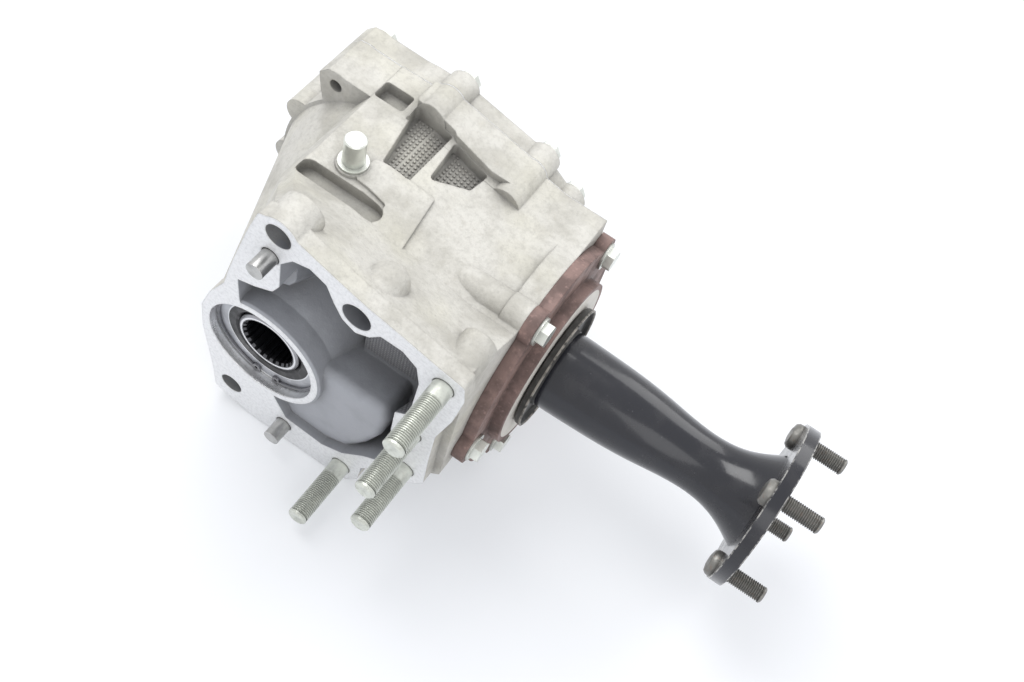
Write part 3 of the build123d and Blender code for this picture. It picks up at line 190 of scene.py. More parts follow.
# The camera that was fitted to the photograph.
SENSOR_WIDTH = 36.0
FOCAL_PX = 1191.9
PHOTO_WIDTH_PX = 1024
CAMERA_PLACE = (0.206402, -0.265779, 0.577366)
CAMERA_RIGHT = (0.824826, 0.532482, 0.190068)
CAMERA_DOWN = (0.546131, -0.663377, -0.511538)
CAMERA_AHEAD = (-0.146298, 0.525732, -0.837976)


class Value:
    """A number or colour that comes out of a node, with the usual arithmetic."""

    def __init__(self, graph, socket):
        self.graph = graph
        self.socket = socket

    def _math(self, operation, *values):
        return self.graph.make("ShaderNodeMath", {"operation": operation}, *values)

    def __add__(self, other):
        return self._math("ADD", self, other)

    __radd__ = __add__

    def __sub__(self, other):
        return self._math("SUBTRACT", self, other)

    def __rsub__(self, other):
        return self._math("SUBTRACT", other, self)

    def __mul__(self, other):
        return self._math("MULTIPLY", self, other)

    __rmul__ = __mul__

    def __gt__(self, other):
        return self._math("GREATER_THAN", self, other)

    def __lt__(self, other):
        return self._math("LESS_THAN", self, other)

    def __abs__(self):
        return self._math("ABSOLUTE", self)

    def root(self):
        return self._math("SQRT", self)

    def sine(self):
        return self._math("SINE", self)

    def past(self, start):
        """How far the value lies past start, 0 before it."""
        return self._math("MAXIMUM", self - start, 0.0)

    def ramp(self, low, high, from_value=0.0, to_value=1.0):
        """Straight rise from from_value at low to to_value at high, held outside them."""
        return self.graph.make("ShaderNodeMapRange", {"clamp": True}, self, low, high, from_value, to_value)

    def step(self, low, high):
        """Smooth rise from 0 at low to 1 at high."""
        settings = {"clamp": True, "interpolation_type": "SMOOTHSTEP"}
        return self.graph.make("ShaderNodeMapRange", settings, self, low, high, 0.0, 1.0)


class Graph:
    """The nodes of a material or of the world."""

    def __init__(self, owner):
        owner.use_nodes = True
        self.owner = owner
        self.tree = owner.node_tree
        self.tree.nodes.clear()
        self.coordinates = None

    def make(self, kind, settings, *inputs, output=0, **named):
        """A node of a kind, with its settings, then its inputs in order or by name; gives one output."""
        node = self.tree.nodes.new(kind)
        for key, value in settings.items():
            setattr(node, key, value)
        for key, value in list(enumerate(inputs)) + list(named.items()):
            self.plug(node.inputs[key if isinstance(key, int) else key.replace("_", " ")], value)
        return Value(self, node.outputs[output]) if len(node.outputs) else None

    def plug(self, socket, value):
        """Links a value to a socket, or sets a constant on it."""
        if isinstance(value, Value):
            self.tree.links.new(value.socket, socket)
        elif value is not None:
            socket.default_value = value

    def place(self):
        """Object coordinates, all from one node."""
        if self.coordinates is None:
            self.coordinates = self.make("ShaderNodeTexCoord", {}, output="Object")
        return self.coordinates

    def axes(self):
        """Object coordinates in millimetres, one by one."""
        parts = self.make("ShaderNodeSeparateXYZ", {}, self.place()).socket.node.outputs
        return [Value(self, parts[index]) * M_TO_MM for index in range(3)]

    def noise(self, size, detail=3.0, rough=0.55):
        """Cloud pattern with blots of about size millimetres."""
        return self.make("ShaderNodeTexNoise", {}, Vector=self.place(), Scale=M_TO_MM / size, Detail=detail,
                         Roughness=rough)

    def corner_shade_and_dirt(self, reach):
        """1 on open surfaces, falling to 0 in corners narrower than reach millimetres. The finishes paint
        shade into corners with it, and dirt into the corners of the black paint.
        """
        return self.make("ShaderNodeAmbientOcclusion", {"samples": 6}, output="AO", Distance=reach * MM)

    def seen(self):
        """1 for rays that come from the camera, or from it by way of metal or glass."""
        outputs = self.make("ShaderNodeLightPath", {}).socket.node.outputs
        camera, glossy, transmission = [
            Value(self, outputs[ray]) for ray in ("Is Camera Ray", "Is Glossy Ray", "Is Transmission Ray")]
        return (camera + glossy + transmission).ramp(0.0, 1.0)

    def mix(self, share, first, second):
        """A colour between two."""
        mixed = self.make("ShaderNodeMix", {"data_type": "RGBA"}, output=2)
        node = mixed.socket.node
        self.plug(node.inputs[0], share)
        self.plug(node.inputs[6], first)
        self.plug(node.inputs[7], second)
        return mixed

    def blend(self, share, first, second):
        """A shader between two."""
        blended = self.make("ShaderNodeMixShader", {})
        for socket, value in zip(blended.socket.node.inputs, (share, first, second)):
            self.plug(socket, value)
        return blended

    def bump(self, height, depth, under=None):
        """Normal of a height pattern that is depth millimetres deep."""
        return self.make("ShaderNodeBump", {}, Height=height, Distance=depth * MM, Strength=1.0,
                         Normal=under)

    def rounded(self, radius):
        """Normal that rounds the solid's edges by radius millimetres."""
        return self.make("ShaderNodeBevel", {"samples": 6}, Radius=radius * MM)

    def principled(self, colour, roughness, metallic=0.0, normal=None, coat=0.0, coat_roughness=0.1,
                   specular=0.5):
        """A Principled shader, with what never varies set on its sockets."""
        shader = self.make("ShaderNodeBsdfPrincipled", {}, Base_Color=colour, Roughness=roughness,
                           Metallic=metallic, Normal=normal)
        inputs = shader.socket.node.inputs
        inputs["Specular IOR Level"].default_value = specular
        inputs["Coat Weight"].default_value = coat
        inputs["Coat Roughness"].default_value = coat_roughness
        return shader

    def finish(self, colour, roughness, **settings):
        """The material, shown by a Principled shader."""
        self.make("ShaderNodeOutputMaterial", {}, self.principled(colour, roughness, **settings))
        return self.owner


def rgb(colour, share=1.0):
    """A colour for a socket, as it is or with its values times a share."""
    return tuple(value * share for value in colour) + (1.0,)


def wear(*nodes, material):
    """Puts a finish on CAD nodes."""
    for name in nodes:
        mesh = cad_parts[name].data
        mesh.materials.clear()
        mesh.materials.append(material)


def inside(value, low, high):
    """1 where a value lies between low and high."""
    return (value > low) * (value < high)


def distance(first, second):
    """Length of the step (first, second)."""
    return (first * first + second * second).root()


def cast_finish(name, light, dark, stain, recess_shade_colour, machined_colour):
    """Sand-cast light alloy: blotched and grained outside, smooth in the recess, with bright machined faces
    and raised dots on the recess's back wall. Painted shade darkens the recess (blue-grey, more so deeper
    in), corners, drilled holes, top pockets and the wall round the dots; the dots carry a painted
    highlight."""
    graph = Graph(bpy.data.materials.new(name))
    x, y, z = graph.axes()
    from_input = distance(x, z)
    drilled = 0
    for hole_x, hole_z, hole_r in FACE_HOLES:
        drilled = drilled + (distance(x - hole_x, z - hole_z) < hole_r)
    drilled = drilled * inside(y, 0.4, FACE_HOLE_DEPTH)
    bore_wall = (from_input < BORE_R) * inside(y, ON_FACE, BORE_DEPTH)
    machined = (abs(y) < ON_FACE) + (abs(y - JOINT_Y) < ON_FACE) + bore_wall
    roof = ROOF_Z - y * ROOF_FALL - x.past(ROOF_BEND_X) * ROOF_SIDE_FALL
    flank = RECESS_X[0] + z.past(FLANK_LOW_Z) * FLANK_LEAN
    recess = inside(x, *RECESS_X) * inside(y, ON_FACE, RECESS_DEPTH) * (z < roof) * (z > RECESS_LOW_Z)
    recess = recess * (1 - machined) * (from_input > BORE_R) * (x > flank)

    floor = FLOOR_Z * M_TO_MM + ON_FACE - x.past(FLOOR_BEND_X * M_TO_MM) * FLOOR_FALL
    pockets = inside(x, *POCKET_X) * inside(y, *POCKET_Y) * (z > POCKET_LOW_Z) * (z < floor)
    hole_x, hole_z, hole_r = UPPER_HOLE
    off_hole = distance(x - hole_x, z - hole_z) > hole_r + 0.7
    wall = inside(x, *WAFFLE_X) * inside(y, *WAFFLE_Y) * (z > WAFFLE_LOW_Z) * recess * off_hole
    across = ((x + z) * WAFFLE_RATE + y * WAFFLE_RATE_Y).sine()
    waffle = (((x - z) * WAFFLE_RATE).sine() * across).ramp(-0.05, 0.35) * wall

    patches = graph.noise(30.0, 5.0, 0.65).step(0.38, 0.66)
    warm = graph.noise(46.0, 3.0, 0.55).step(0.46, 0.66)
    freckles = graph.noise(3.0, 4.0, 0.75).step(0.42, 0.70)
    spots = graph.noise(7.0, 3.0).step(0.60, 0.72)
    corners = graph.corner_shade_and_dirt(14.0).ramp(0.35, 0.92)
    base = graph.mix(patches, rgb(light), rgb(stain))
    base = graph.mix(warm * 0.35, base, rgb(WARM_STAIN))
    base = graph.mix(freckles * 0.34, base, rgb(stain, 0.72))
    base = graph.mix(spots * 0.20, base, rgb(SPOT))
    # Painted shade: the recess gets a darker blue-grey colour, darkened further deeper in.
    deep = (y.ramp(7.0, 24.0) + graph.noise(12.0, 4.0).ramp(0.3, 0.7, -0.3, 0.3)).ramp(0.0, 1.0)
    smooth = graph.mix(deep, rgb(recess_shade_colour), rgb(recess_shade_colour, 0.70))
    base = graph.mix(recess, base, smooth)
    # Painted shade: the back wall between the raised dots and the top pockets are darkened.
    base = graph.mix((wall - waffle) * 0.5 + pockets * 0.26, base, rgb(dark))
    # Painted highlight: the raised dots are lightened.
    base = graph.mix(waffle * 0.30, base, rgb(DOT_HIGHLIGHT))
    # Painted shade: corners are darkened towards the shade colour, a little less in the recess.
    base = graph.mix((1 - corners) * (0.66 - recess * 0.2), base, rgb(dark))
    scratches = graph.noise(2.2, 4.0, 0.7).step(0.40, 0.70)
    bare = graph.mix(scratches * 0.55, rgb(machined_colour), rgb(machined_colour, 0.72))
    # Painted shade: the drilled holes are darkened.
    base = graph.mix(drilled * 0.8, base, rgb(recess_shade_colour, 0.45))
    base = graph.mix(machined, base, bare)

    fine = graph.noise(1.0, 3.0, 0.65)
    sand = graph.noise(2.4, 2.0, 0.6)
    coarse = graph.noise(7.0, 3.0)
    rough_skin = (1 - machined * 0.93) * (1 - recess * 0.65)
    height = (fine * 0.5 + sand * 0.8 + coarse * 0.8) * rough_skin + waffle * 1.5
    normal = graph.bump(height, 0.52, graph.rounded(1.5))
    roughness = 0.60 + patches * 0.08 - machined * 0.22 - recess * 0.08 - bore_wall * 0.14
    metallic = 0.18 + machined * 0.22 + bore_wall * 0.50
    return graph.finish(base, roughness, metallic=metallic, normal=normal, specular=0.35)


def steel_finish(name, colour, roughness, dirt=0.35, rust=0.0):
    """Machined or plated steel with smudges, and painted shade in its corners."""
    graph = Graph(bpy.data.materials.new(name))
    smudge = graph.noise(7.0, 4.0, 0.6).step(0.42, 0.70)
    corners = graph.corner_shade_and_dirt(4.0).ramp(0.30, 0.95)
    base = graph.mix(smudge * dirt, rgb(colour), rgb(colour, 0.55))
    # Painted shade: corners are darkened.
    base = graph.mix((1 - corners) * 0.7, base, rgb(colour, 0.25))
    if rust:
        freckles = graph.noise(2.6, 3.0).step(0.60, 0.72)
        base = graph.mix(freckles * rust, base, rgb(RUST))
    height = graph.noise(0.5, 2.0) * 0.4 + graph.noise(3.0, 2.0) * 0.4
    normal = graph.bump(height, 0.03, graph.rounded(0.35))
    return graph.finish(base, roughness + smudge * 0.16, metallic=0.9, normal=normal)


def rim_finish(name, colour, worn):
    """Black oiled pressing with a worn edge."""
    graph = Graph(bpy.data.materials.new(name))
    x, y, z = graph.axes()
    from_output = distance(y - AXIS_Y, z)
    edge = (from_output > DEFLECTOR_R * M_TO_MM - 0.9) * (x > DEFLECTOR_X * M_TO_MM + 3.4)
    film = graph.noise(5.0, 4.0).step(0.42, 0.66)
    base = graph.mix(film * 0.5, rgb(colour), rgb(colour, 2.2))
    base = graph.mix(edge * graph.noise(4.0, 3.0).step(0.35, 0.55), base, rgb(worn))
    normal = graph.bump(graph.noise(1.2, 3.0), 0.05)
    return graph.finish(base, 0.38 + film * 0.16, metallic=0.4, normal=normal, specular=0.45)


def thread_finish(name, colour, rust):
    """Plated thread: crests in the plain plate colour, painted shade in the grooves, smudges and a little
    rust.
    """
    graph = Graph(bpy.data.materials.new(name))
    smudge = graph.noise(5.0, 4.0, 0.6).step(0.42, 0.68)
    grooves = graph.corner_shade_and_dirt(1.2).ramp(0.45, 0.95)
    base = graph.mix(smudge * 0.5, rgb(colour), rgb(colour, 0.60))
    base = graph.mix(graph.noise(2.0, 3.0).step(0.56, 0.72) * rust, base, rgb(THREAD_RUST))
    # Painted shade: the thread's grooves are darkened.
    base = graph.mix((1 - grooves) * 0.55, base, rgb(colour, 0.34))
    normal = graph.bump(graph.noise(0.7, 2.0), 0.04)
    return graph.finish(base, 0.36 + smudge * 0.16, metallic=0.62, normal=normal)


def paint_finish(name, colour, dust):
    """Glossy black paint over a turned part: a little orange peel, dull patches and bare metal on the edges
    of the flange disc."""
    graph = Graph(bpy.data.materials.new(name))
    x, y, z = graph.axes()
    from_output = distance(y - AXIS_Y, z)
    disc = FLANGE_FACE_X * M_TO_MM
    back = disc - FLANGE_THICK * M_TO_MM
    edges = inside(x, back - 0.3, back + 0.7) + inside(x, disc - 0.6, disc + 0.3)
    rim = (from_output > DISC_RIM_R) * edges
    patches = graph.noise(16.0, 4.0, 0.6).step(0.45, 0.72)
    chips = graph.noise(3.2, 4.0, 0.65).step(0.40, 0.58)
    specks = graph.noise(1.8, 2.0).step(0.71, 0.78)
    corners = graph.corner_shade_and_dirt(10.0).ramp(0.2, 0.9)
    base = graph.mix(patches * 0.30, rgb(colour), rgb(dust))
    base = graph.mix(specks * 0.25, base, rgb(PAINT_SPECK))
    base = graph.mix((1 - corners) * 0.30, base, rgb(PAINT_CORNER))
    smears = graph.noise(9.0, 4.0).step(0.38, 0.62)
    handled = inside(x, back - 1.5, back + 0.2) * (from_output > DISC_CONE_R) * smears
    base = graph.mix(handled * 0.45, base, rgb(PAINT_HANDLED))
    base = graph.mix(rim * chips, base, rgb(PAINT_CHIP))
    peel = graph.noise(2.6, 2.0) + graph.noise(12.0, 2.0) * 0.8
    normal = graph.bump(peel, 0.045, graph.rounded(0.8))
    return graph.finish(base, 0.21 + patches * 0.12, normal=normal, specular=0.36, coat=0.42,
                        coat_roughness=0.10)


def iron_finish(name, colour, oil, rim_colour):
    """Brown, oil-soaked iron casting with a pale turned face round the shaft, and painted shade in its
    corners.
    """
    graph = Graph(bpy.data.materials.new(name))
    x, y, z = graph.axes()
    turned = (x > HUB_FACE_X * M_TO_MM - 0.3) * (distance(y - AXIS_Y, z) < RETAINER_HUB_R)
    patches = graph.noise(18.0, 5.0, 0.62).step(0.38, 0.66)
    freckles = graph.noise(3.0, 3.0).step(0.56, 0.70)
    corners = graph.corner_shade_and_dirt(8.0).ramp(0.25, 0.95)
    base = graph.mix(patches, rgb(colour), rgb(oil))
    base = graph.mix(freckles * 0.45, base, rgb(colour, 1.5))
    # Painted shade: corners are darkened.
    base = graph.mix((1 - corners) * 0.7, base, rgb(IRON_CORNER_SHADE))
    base = graph.mix(turned, base, graph.mix(freckles * 0.4, rgb(rim_colour), rgb(rim_colour, 0.6)))
    height = graph.noise(1.4, 3.0) * 0.6 + graph.noise(7.0, 2.0)
    normal = graph.bump(height * (1 - turned * 0.9), 0.22, graph.rounded(1.0))
    roughness = 0.50 + patches * 0.2 - turned * 0.1
    return graph.finish(base, roughness, metallic=0.1, normal=normal, specular=0.4)


def bored_finish(name, colour):
    """Turned shaft painted dark inside its splined bore as shade, darker deeper in, with a painted
    highlight round the mouth.
    """
    graph = Graph(bpy.data.materials.new(name))
    x, y, z = graph.axes()
    from_input = distance(x, z)
    within = from_input < SPLINE_R
    smudge = graph.noise(7.0, 4.0, 0.6).step(0.42, 0.70)
    lip = inside(from_input, SPLINE_R, SPLINE_EDGE_R) * (y < SPLINE_MOUTH_Y)
    base = graph.mix(smudge * 0.35, rgb(colour), rgb(colour, 0.55))
    # Painted highlight: a bright ring round the bore's mouth.
    base = graph.mix(lip, base, rgb(MOUTH_HIGHLIGHT))
    # Painted shade: the inside of the splined bore is darkened, more so deeper in.
    base = graph.mix(within * y.ramp(6.0, 12.0, 0.75, 1.0), base, rgb(BORE_SHADE))
    normal = graph.bump(graph.noise(0.5, 2.0) + graph.noise(3.0, 2.0) * 0.4, 0.03, graph.rounded(0.35))
    return graph.finish(base, 0.28 + smudge * 0.12, metallic=0.85, normal=normal)


def rubber_finish(name, colour):
    """Moulded rubber with a film of oil."""
    graph = Graph(bpy.data.materials.new(name))
    film = graph.noise(5.0, 3.0).step(0.45, 0.65)
    base = graph.mix(film * 0.4, rgb(colour), rgb(RUBBER_FILM))
    normal = graph.bump(graph.noise(0.7, 2.0), 0.03, graph.rounded(0.3))
    return graph.finish(base, 0.42 - film * 0.15, normal=normal, specular=0.45)


def cased_seal_finish(name, rubber, case):
    """Oil seal of the input bore: black lip and a pale metal case round it, with a painted highlight on the
    case's inner edge.
    """
    graph = Graph(bpy.data.materials.new(name))
    x, y, z = graph.axes()
    from_input = distance(x, z)
    metal = (from_input > SEAL_CASE_R) * (y < SEAL_BACK_Y)
    edge = inside(from_input, SEAL_CASE_R, SEAL_EDGE_R)
    film = graph.noise(5.0, 3.0).step(0.45, 0.65)
    smudge = graph.noise(9.0, 4.0, 0.6).step(0.40, 0.68)
    base = graph.mix(film * 0.4, rgb(rubber), rgb(SEAL_LIP_FILM))
    shell = graph.mix(smudge * 0.45, rgb(case), rgb(case, 0.6))
    # Painted highlight: the inner edge of the case is painted brighter.
    base = graph.mix(metal, base, graph.mix(edge, shell, rgb(SEAL_EDGE)))
    normal = graph.bump(graph.noise(0.9, 2.0), 0.03, graph.rounded(0.3))
    return graph.finish(base, 0.40 - film * 0.10, metallic=metal * 0.55, normal=normal, specular=0.45)


class CaseFinish(bpy.types.PropertyGroup):
    """Colours of the castings and coatings."""

    alloy: bpy.props.FloatVectorProperty(
        name="Alloy", description="Clean cast alloy", subtype="COLOR", size=3, default=(0.60, 0.585, 0.54),
        min=0, max=1)
    # Painted shade: the darker blue-grey colour of the shaded recess, also used darker in the drilled
    # holes.
    recess: bpy.props.FloatVectorProperty(
        name="Recess", description="Smooth alloy in the recess behind the mating face", subtype="COLOR",
        size=3, default=(0.385, 0.395, 0.42), min=0, max=1)
    machined: bpy.props.FloatVectorProperty(
        name="Machined faces", description="Bare alloy of the mating face and the bore", subtype="COLOR",
        size=3, default=(0.82, 0.825, 0.83), min=0, max=1)
    # Painted shade: this colour darkens corners, the top pockets and the wall round the dots in the recess.
    alloy_shade: bpy.props.FloatVectorProperty(
        name="Alloy in corners", description="Dirt in the corners of the castings", subtype="COLOR", size=3,
        default=(0.15, 0.145, 0.14), min=0, max=1)
    alloy_stain: bpy.props.FloatVectorProperty(
        name="Alloy stain", description="Duller patches of the castings", subtype="COLOR", size=3,
        default=(0.47, 0.455, 0.41), min=0, max=1)
    iron: bpy.props.FloatVectorProperty(
        name="Retainer", description="Brown iron of the bearing retainer", subtype="COLOR", size=3,
        default=(0.25, 0.165, 0.145), min=0, max=1)
    turned_face: bpy.props.FloatVectorProperty(
        name="Retainer's turned face", description="Pale ring of the retainer round the shaft",
        subtype="COLOR", size=3, default=(0.66, 0.63, 0.57), min=0, max=1)
    paint: bpy.props.FloatVectorProperty(
        name="Shaft paint", description="Black paint of the output shaft", subtype="COLOR", size=3,
        default=(0.0105, 0.0115, 0.0175), min=0, max=1)
    zinc: bpy.props.FloatVectorProperty(
        name="Zinc", description="Plated bolts and the breather", subtype="COLOR", size=3,
        default=(0.78, 0.80, 0.75), min=0, max=1)


class ReliefSizes(bpy.types.PropertyGroup):
    """Sizes of the rows of cast squares in the top pockets."""

    pitch: bpy.props.FloatProperty(
        name="Pitch", description="Distance between the squares", subtype="DISTANCE", unit="LENGTH",
        default=0.0027, min=0.0015, max=0.006)
    square: bpy.props.FloatProperty(
        name="Square", description="Side of each square at its foot", subtype="DISTANCE", unit="LENGTH",
        default=0.0016, min=0.0005, max=0.004)
    height: bpy.props.FloatProperty(
        name="Height", description="How far the squares stand up", subtype="DISTANCE", unit="LENGTH",
        default=0.0008, min=0.0002, max=0.002)


class ThreadSizes(bpy.types.PropertyGroup):
    """Sizes of the threads that are cut on the studs."""

    case_pitch: bpy.props.FloatProperty(
        name="Case stud pitch", description="Pitch of the long studs' thread", subtype="DISTANCE",
        unit="LENGTH", default=0.00125, min=0.0005, max=0.002)
    flange_pitch: bpy.props.FloatProperty(
        name="Flange stud pitch", description="Pitch of the flange studs' thread", subtype="DISTANCE",
        unit="LENGTH", default=0.00125, min=0.0005, max=0.002)
    plain: bpy.props.FloatProperty(
        name="Plain shank", description="Length of each case stud without a thread, next to the case",
        subtype="DISTANCE", unit="LENGTH", default=0.009, min=0, max=0.02)


def deselect():
    """Leaves edit mode and selects nothing."""
    if bpy.context.object and bpy.context.object.mode != "OBJECT":
        bpy.ops.object.mode_set(mode="OBJECT")
    bpy.ops.object.select_all(action="DESELECT")


def settle(obj, name):
    """Names a new piece and puts its place into its mesh."""
    deselect()
    obj.name = name
    obj.data.name = name
    obj.select_set(True)
    bpy.context.view_layer.objects.active = obj
    bpy.ops.object.transform_apply(location=True, rotation=True, scale=True)
    return obj


def trace(outline):
    """A line of edges through (along, radius) points beside the Z axis, extruded point by point."""
    deselect()
    bpy.ops.mesh.primitive_plane_add(size=0.002, location=(0, 0, 0))
    bpy.ops.object.mode_set(mode="EDIT")
    bpy.ops.mesh.select_mode(type="VERT")
    bpy.ops.mesh.select_all(action="SELECT")
    bpy.ops.mesh.merge(type="CENTER")
    along, radius = outline[0]
    bpy.ops.transform.translate(value=(radius, 0, along))
    for (from_along, from_radius), (along, radius) in zip(outline, outline[1:]):
        step = (radius - from_radius, 0, along - from_along)
        bpy.ops.mesh.extrude_vertices_move(TRANSFORM_OT_translate={"value": step})
    bpy.ops.mesh.select_all(action="SELECT")
    return bpy.context.object


def close_up():
    """Merges doubles and turns the faces outwards, then leaves edit mode."""
    bpy.ops.mesh.select_all(action="SELECT")
    bpy.ops.mesh.remove_doubles(threshold=1e-6)
    bpy.ops.mesh.normals_make_consistent(inside=False)
    bpy.ops.object.mode_set(mode="OBJECT")


def turned_piece(outline, steps=36):
    """Piece turned about the Z axis from (along, radius) points, with sharp edges kept."""
    piece = trace(outline)
    bpy.ops.mesh.spin(steps=steps, angle=TURN, center=(0, 0, 0), axis=(0, 0, 1))
    close_up()
    bpy.ops.object.shade_smooth_by_angle(angle=math.radians(35))
    return piece


def thread_piece(start, end, radius, pitch, steps=28):
    """Outside thread between two places on the Z axis: one groove, wound by a Screw modifier."""
    root = radius - THREAD_DEPTH * pitch
    crest = THREAD_CREST * pitch
    bottom = THREAD_ROOT * pitch
    flank = (pitch - crest - bottom) / 2
    piece = trace([(start, radius), (start + crest, radius), (start + crest + flank, root),
                   (start + crest + flank + bottom, root), (start + pitch, radius)])
    bpy.ops.object.mode_set(mode="OBJECT")
    screw = piece.modifiers.new("Screw", "SCREW")
    screw.steps = steps
    screw.render_steps = steps
    screw.screw_offset = pitch
    screw.iterations = max(2, int((end - start) / pitch) - 1)
    screw.use_merge_vertices = False
    bpy.ops.object.modifier_apply(modifier=screw.name)
    bpy.ops.object.mode_set(mode="EDIT")
    close_up()
    bpy.ops.object.shade_smooth_by_angle(angle=math.radians(25))
    return piece


def join(name, pieces):
    """Makes one piece of several."""
    deselect()
    for piece in pieces:
        piece.select_set(True)
    bpy.context.view_layer.objects.active = pieces[0]
    if len(pieces) > 1:
        bpy.ops.object.join()
    return settle(pieces[0], name)


def set_out(name, piece, places, direction):
    """Copies a piece made along Z to each place, along a direction, and joins the copies."""
    copies = []
    for place in places:
        deselect()
        piece.select_set(True)
        bpy.context.view_layer.objects.active = piece
        bpy.ops.object.duplicate(linked=False)
        copy = bpy.context.object
        copy.rotation_mode = "QUATERNION"
        copy.rotation_quaternion = Vector(direction).to_track_quat("Z", "Y")
        copy.location = place
        bpy.ops.object.transform_apply(location=True, rotation=True, scale=True)
        copies.append(copy)
    deselect()
    piece.select_set(True)
    bpy.ops.object.delete()
    return join(name, copies)


def clear_of(outline, x, y, margin):
    """Whether a point lies inside a clockwise outline by at least margin."""
    for (x0, y0), (x1, y1) in zip(outline, outline[1:] + outline[:1]):
        length = math.hypot(x1 - x0, y1 - y0)
        if ((y1 - y0) * (x - x0) - (x1 - x0) * (y - y0)) / length < margin:
            return False
    return True


def field_of_squares(outline, relief, level):
    """Rows of raised squares on a pocket floor: on its level part, or on the part that falls away."""
    low_x = min(x for x, y in outline)
    high_x = max(x for x, y in outline)
    low_y = min(y for x, y in outline)
    high_y = max(y for x, y in outline)
    start_x = low_x if level else max(low_x, FLOOR_BEND_X)
    end_x = min(FLOOR_BEND_X, high_x) if level else high_x
    if end_x - start_x < relief.pitch:
        return None
    fall = 0.0 if level else math.atan(FLOOR_FALL)
    deselect()
    bpy.ops.mesh.primitive_cone_add(
        vertices=4, radius1=relief.square * SQUARE_FOOT, radius2=relief.square * SQUARE_TOP,
        depth=relief.height * SQUARE_SUNK, rotation=(0, 0, TURN / 8),
        location=(start_x + relief.pitch / 2, low_y + relief.pitch / 2,
                  relief.height * (1 - SQUARE_SUNK / 2)))
    field = settle(bpy.context.object, "squares")
    corners = len(field.data.vertices)
    columns = int((end_x - start_x) / math.cos(fall) / relief.pitch)
    rows = int((high_y - low_y) / relief.pitch)
    for name, step, count in (("Columns", (relief.pitch, 0, 0), columns),
                              ("Rows", (0, relief.pitch, 0), rows)):
        array = field.modifiers.new(name, "ARRAY")
        array.use_relative_offset = False
        array.use_constant_offset = True
        array.constant_offset_displace = step
        array.count = count
        bpy.ops.object.modifier_apply(modifier=array.name)
    bpy.ops.object.mode_set(mode="EDIT")
    bpy.ops.mesh.select_mode(type="VERT")
    bpy.ops.mesh.select_all(action="DESELECT")
    bpy.ops.object.mode_set(mode="OBJECT")
    points = field.data.vertices
    for first in range(0, len(points), corners):
        square = [points[first + k] for k in range(corners)]
        x = start_x + (sum(point.co.x for point in square) / corners - start_x) * math.cos(fall)
        y = sum(point.co.y for point in square) / corners
        if not clear_of(outline, x, y, relief.square * SQUARE_MARGIN):
            for point in square:
                point.select = True
    bpy.ops.object.mode_set(mode="EDIT")
    bpy.ops.mesh.delete(type="VERT")
    bpy.ops.object.mode_set(mode="OBJECT")
    foot_z = FLOOR_Z - (0 if level else (start_x - FLOOR_BEND_X) * FLOOR_FALL)
    to_bend = Matrix.Translation((-start_x, 0, 0))
    tilt = Matrix.Rotation(fall, 4, "Y")
    field.matrix_world = Matrix.Translation((start_x, 0, foot_z)) @ tilt @ to_bend
    return settle(field, "squares")


def finish_piece(piece, material, body, slot, *stands_for):
    """Gives a new piece its finish, its body and the nodes that it stands for."""
    piece.data.materials.clear()
    piece.data.materials.append(material)
    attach(piece, body)
    for node in stands_for:
        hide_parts(node)
    return piece


class TRANSFERCASE_OT_castings(bpy.types.Operator):
    """Finish the case and its cover as sand-cast light alloy"""

    bl_idname = "transfercase.castings"
    bl_label = "Castings"

    def execute(self, context):
        colours = context.scene.transfercase_finish
        alloy = cast_finish("cast alloy", colours.alloy, colours.alloy_shade, colours.alloy_stain,
                            colours.recess, colours.machined)
        wear("transfer_case", "case_cover", material=alloy)
        return {"FINISHED"}


class TRANSFERCASE_OT_waffle(bpy.types.Operator):
    """Raise the rows of small cast squares on the floors of the two top pockets"""

    bl_idname = "transfercase.waffle"
    bl_label = "Waffle in the pockets"

    def execute(self, context):
        relief = context.scene.transfercase_relief
        fields = []
        for outline in POCKET_FLOORS:
            for level in (True, False):
                field = field_of_squares(outline, relief, level)
                if field:
                    fields.append(field)
        waffle = join("pocket_waffle", fields)
        finish_piece(waffle, bpy.data.materials["cast alloy"], "housing", "cast_aluminium")
        return {"FINISHED"}


class TRANSFERCASE_OT_retainer(bpy.types.Operator):
    """Finish the bearing retainer as brown iron"""

    bl_idname = "transfercase.retainer"
    bl_label = "Bearing retainer"

    def execute(self, context):
        colours = context.scene.transfercase_finish
        wear("bearing_retainer",
             material=iron_finish("brown iron", colours.iron, IRON_OIL, colours.turned_face))
        return {"FINISHED"}


class TRANSFERCASE_OT_output(bpy.types.Operator):
    """Paint the output shaft black and make its pressed dust deflector"""

    bl_idname = "transfercase.output"
    bl_label = "Output shaft"

    def execute(self, context):
        colours = context.scene.transfercase_finish
        wear("companion_flange", material=paint_finish("black paint", colours.paint, PAINT_DUST))
        rim = DEFLECTOR_R
        foot = TUBE_R - 0.0015
        cup = turned_piece([
            (0, foot), (0, rim - 0.0006), (0.0006, rim), (0.0042, rim + 0.0006), (0.0046, rim),
            (0.0044, rim - 0.0007), (0.0018, rim - 0.0014), (0.0012, rim - 0.0028),
            (0.0012, TUBE_R + 0.0028), (0.0018, TUBE_R + 0.0010), (0.0040, TUBE_R + 0.0005),
            (0.0040, foot), (0, foot)], steps=96)
        deflector = set_out("dust_deflector_pressed", cup, [(DEFLECTOR_X, APEX_Y, 0)], (1, 0, 0))
        finish_piece(deflector, rim_finish("oiled pressing", PRESSING, PRESSING_EDGE),
                     "output_shaft", "plated_bolts", "dust_deflector")
        return {"FINISHED"}


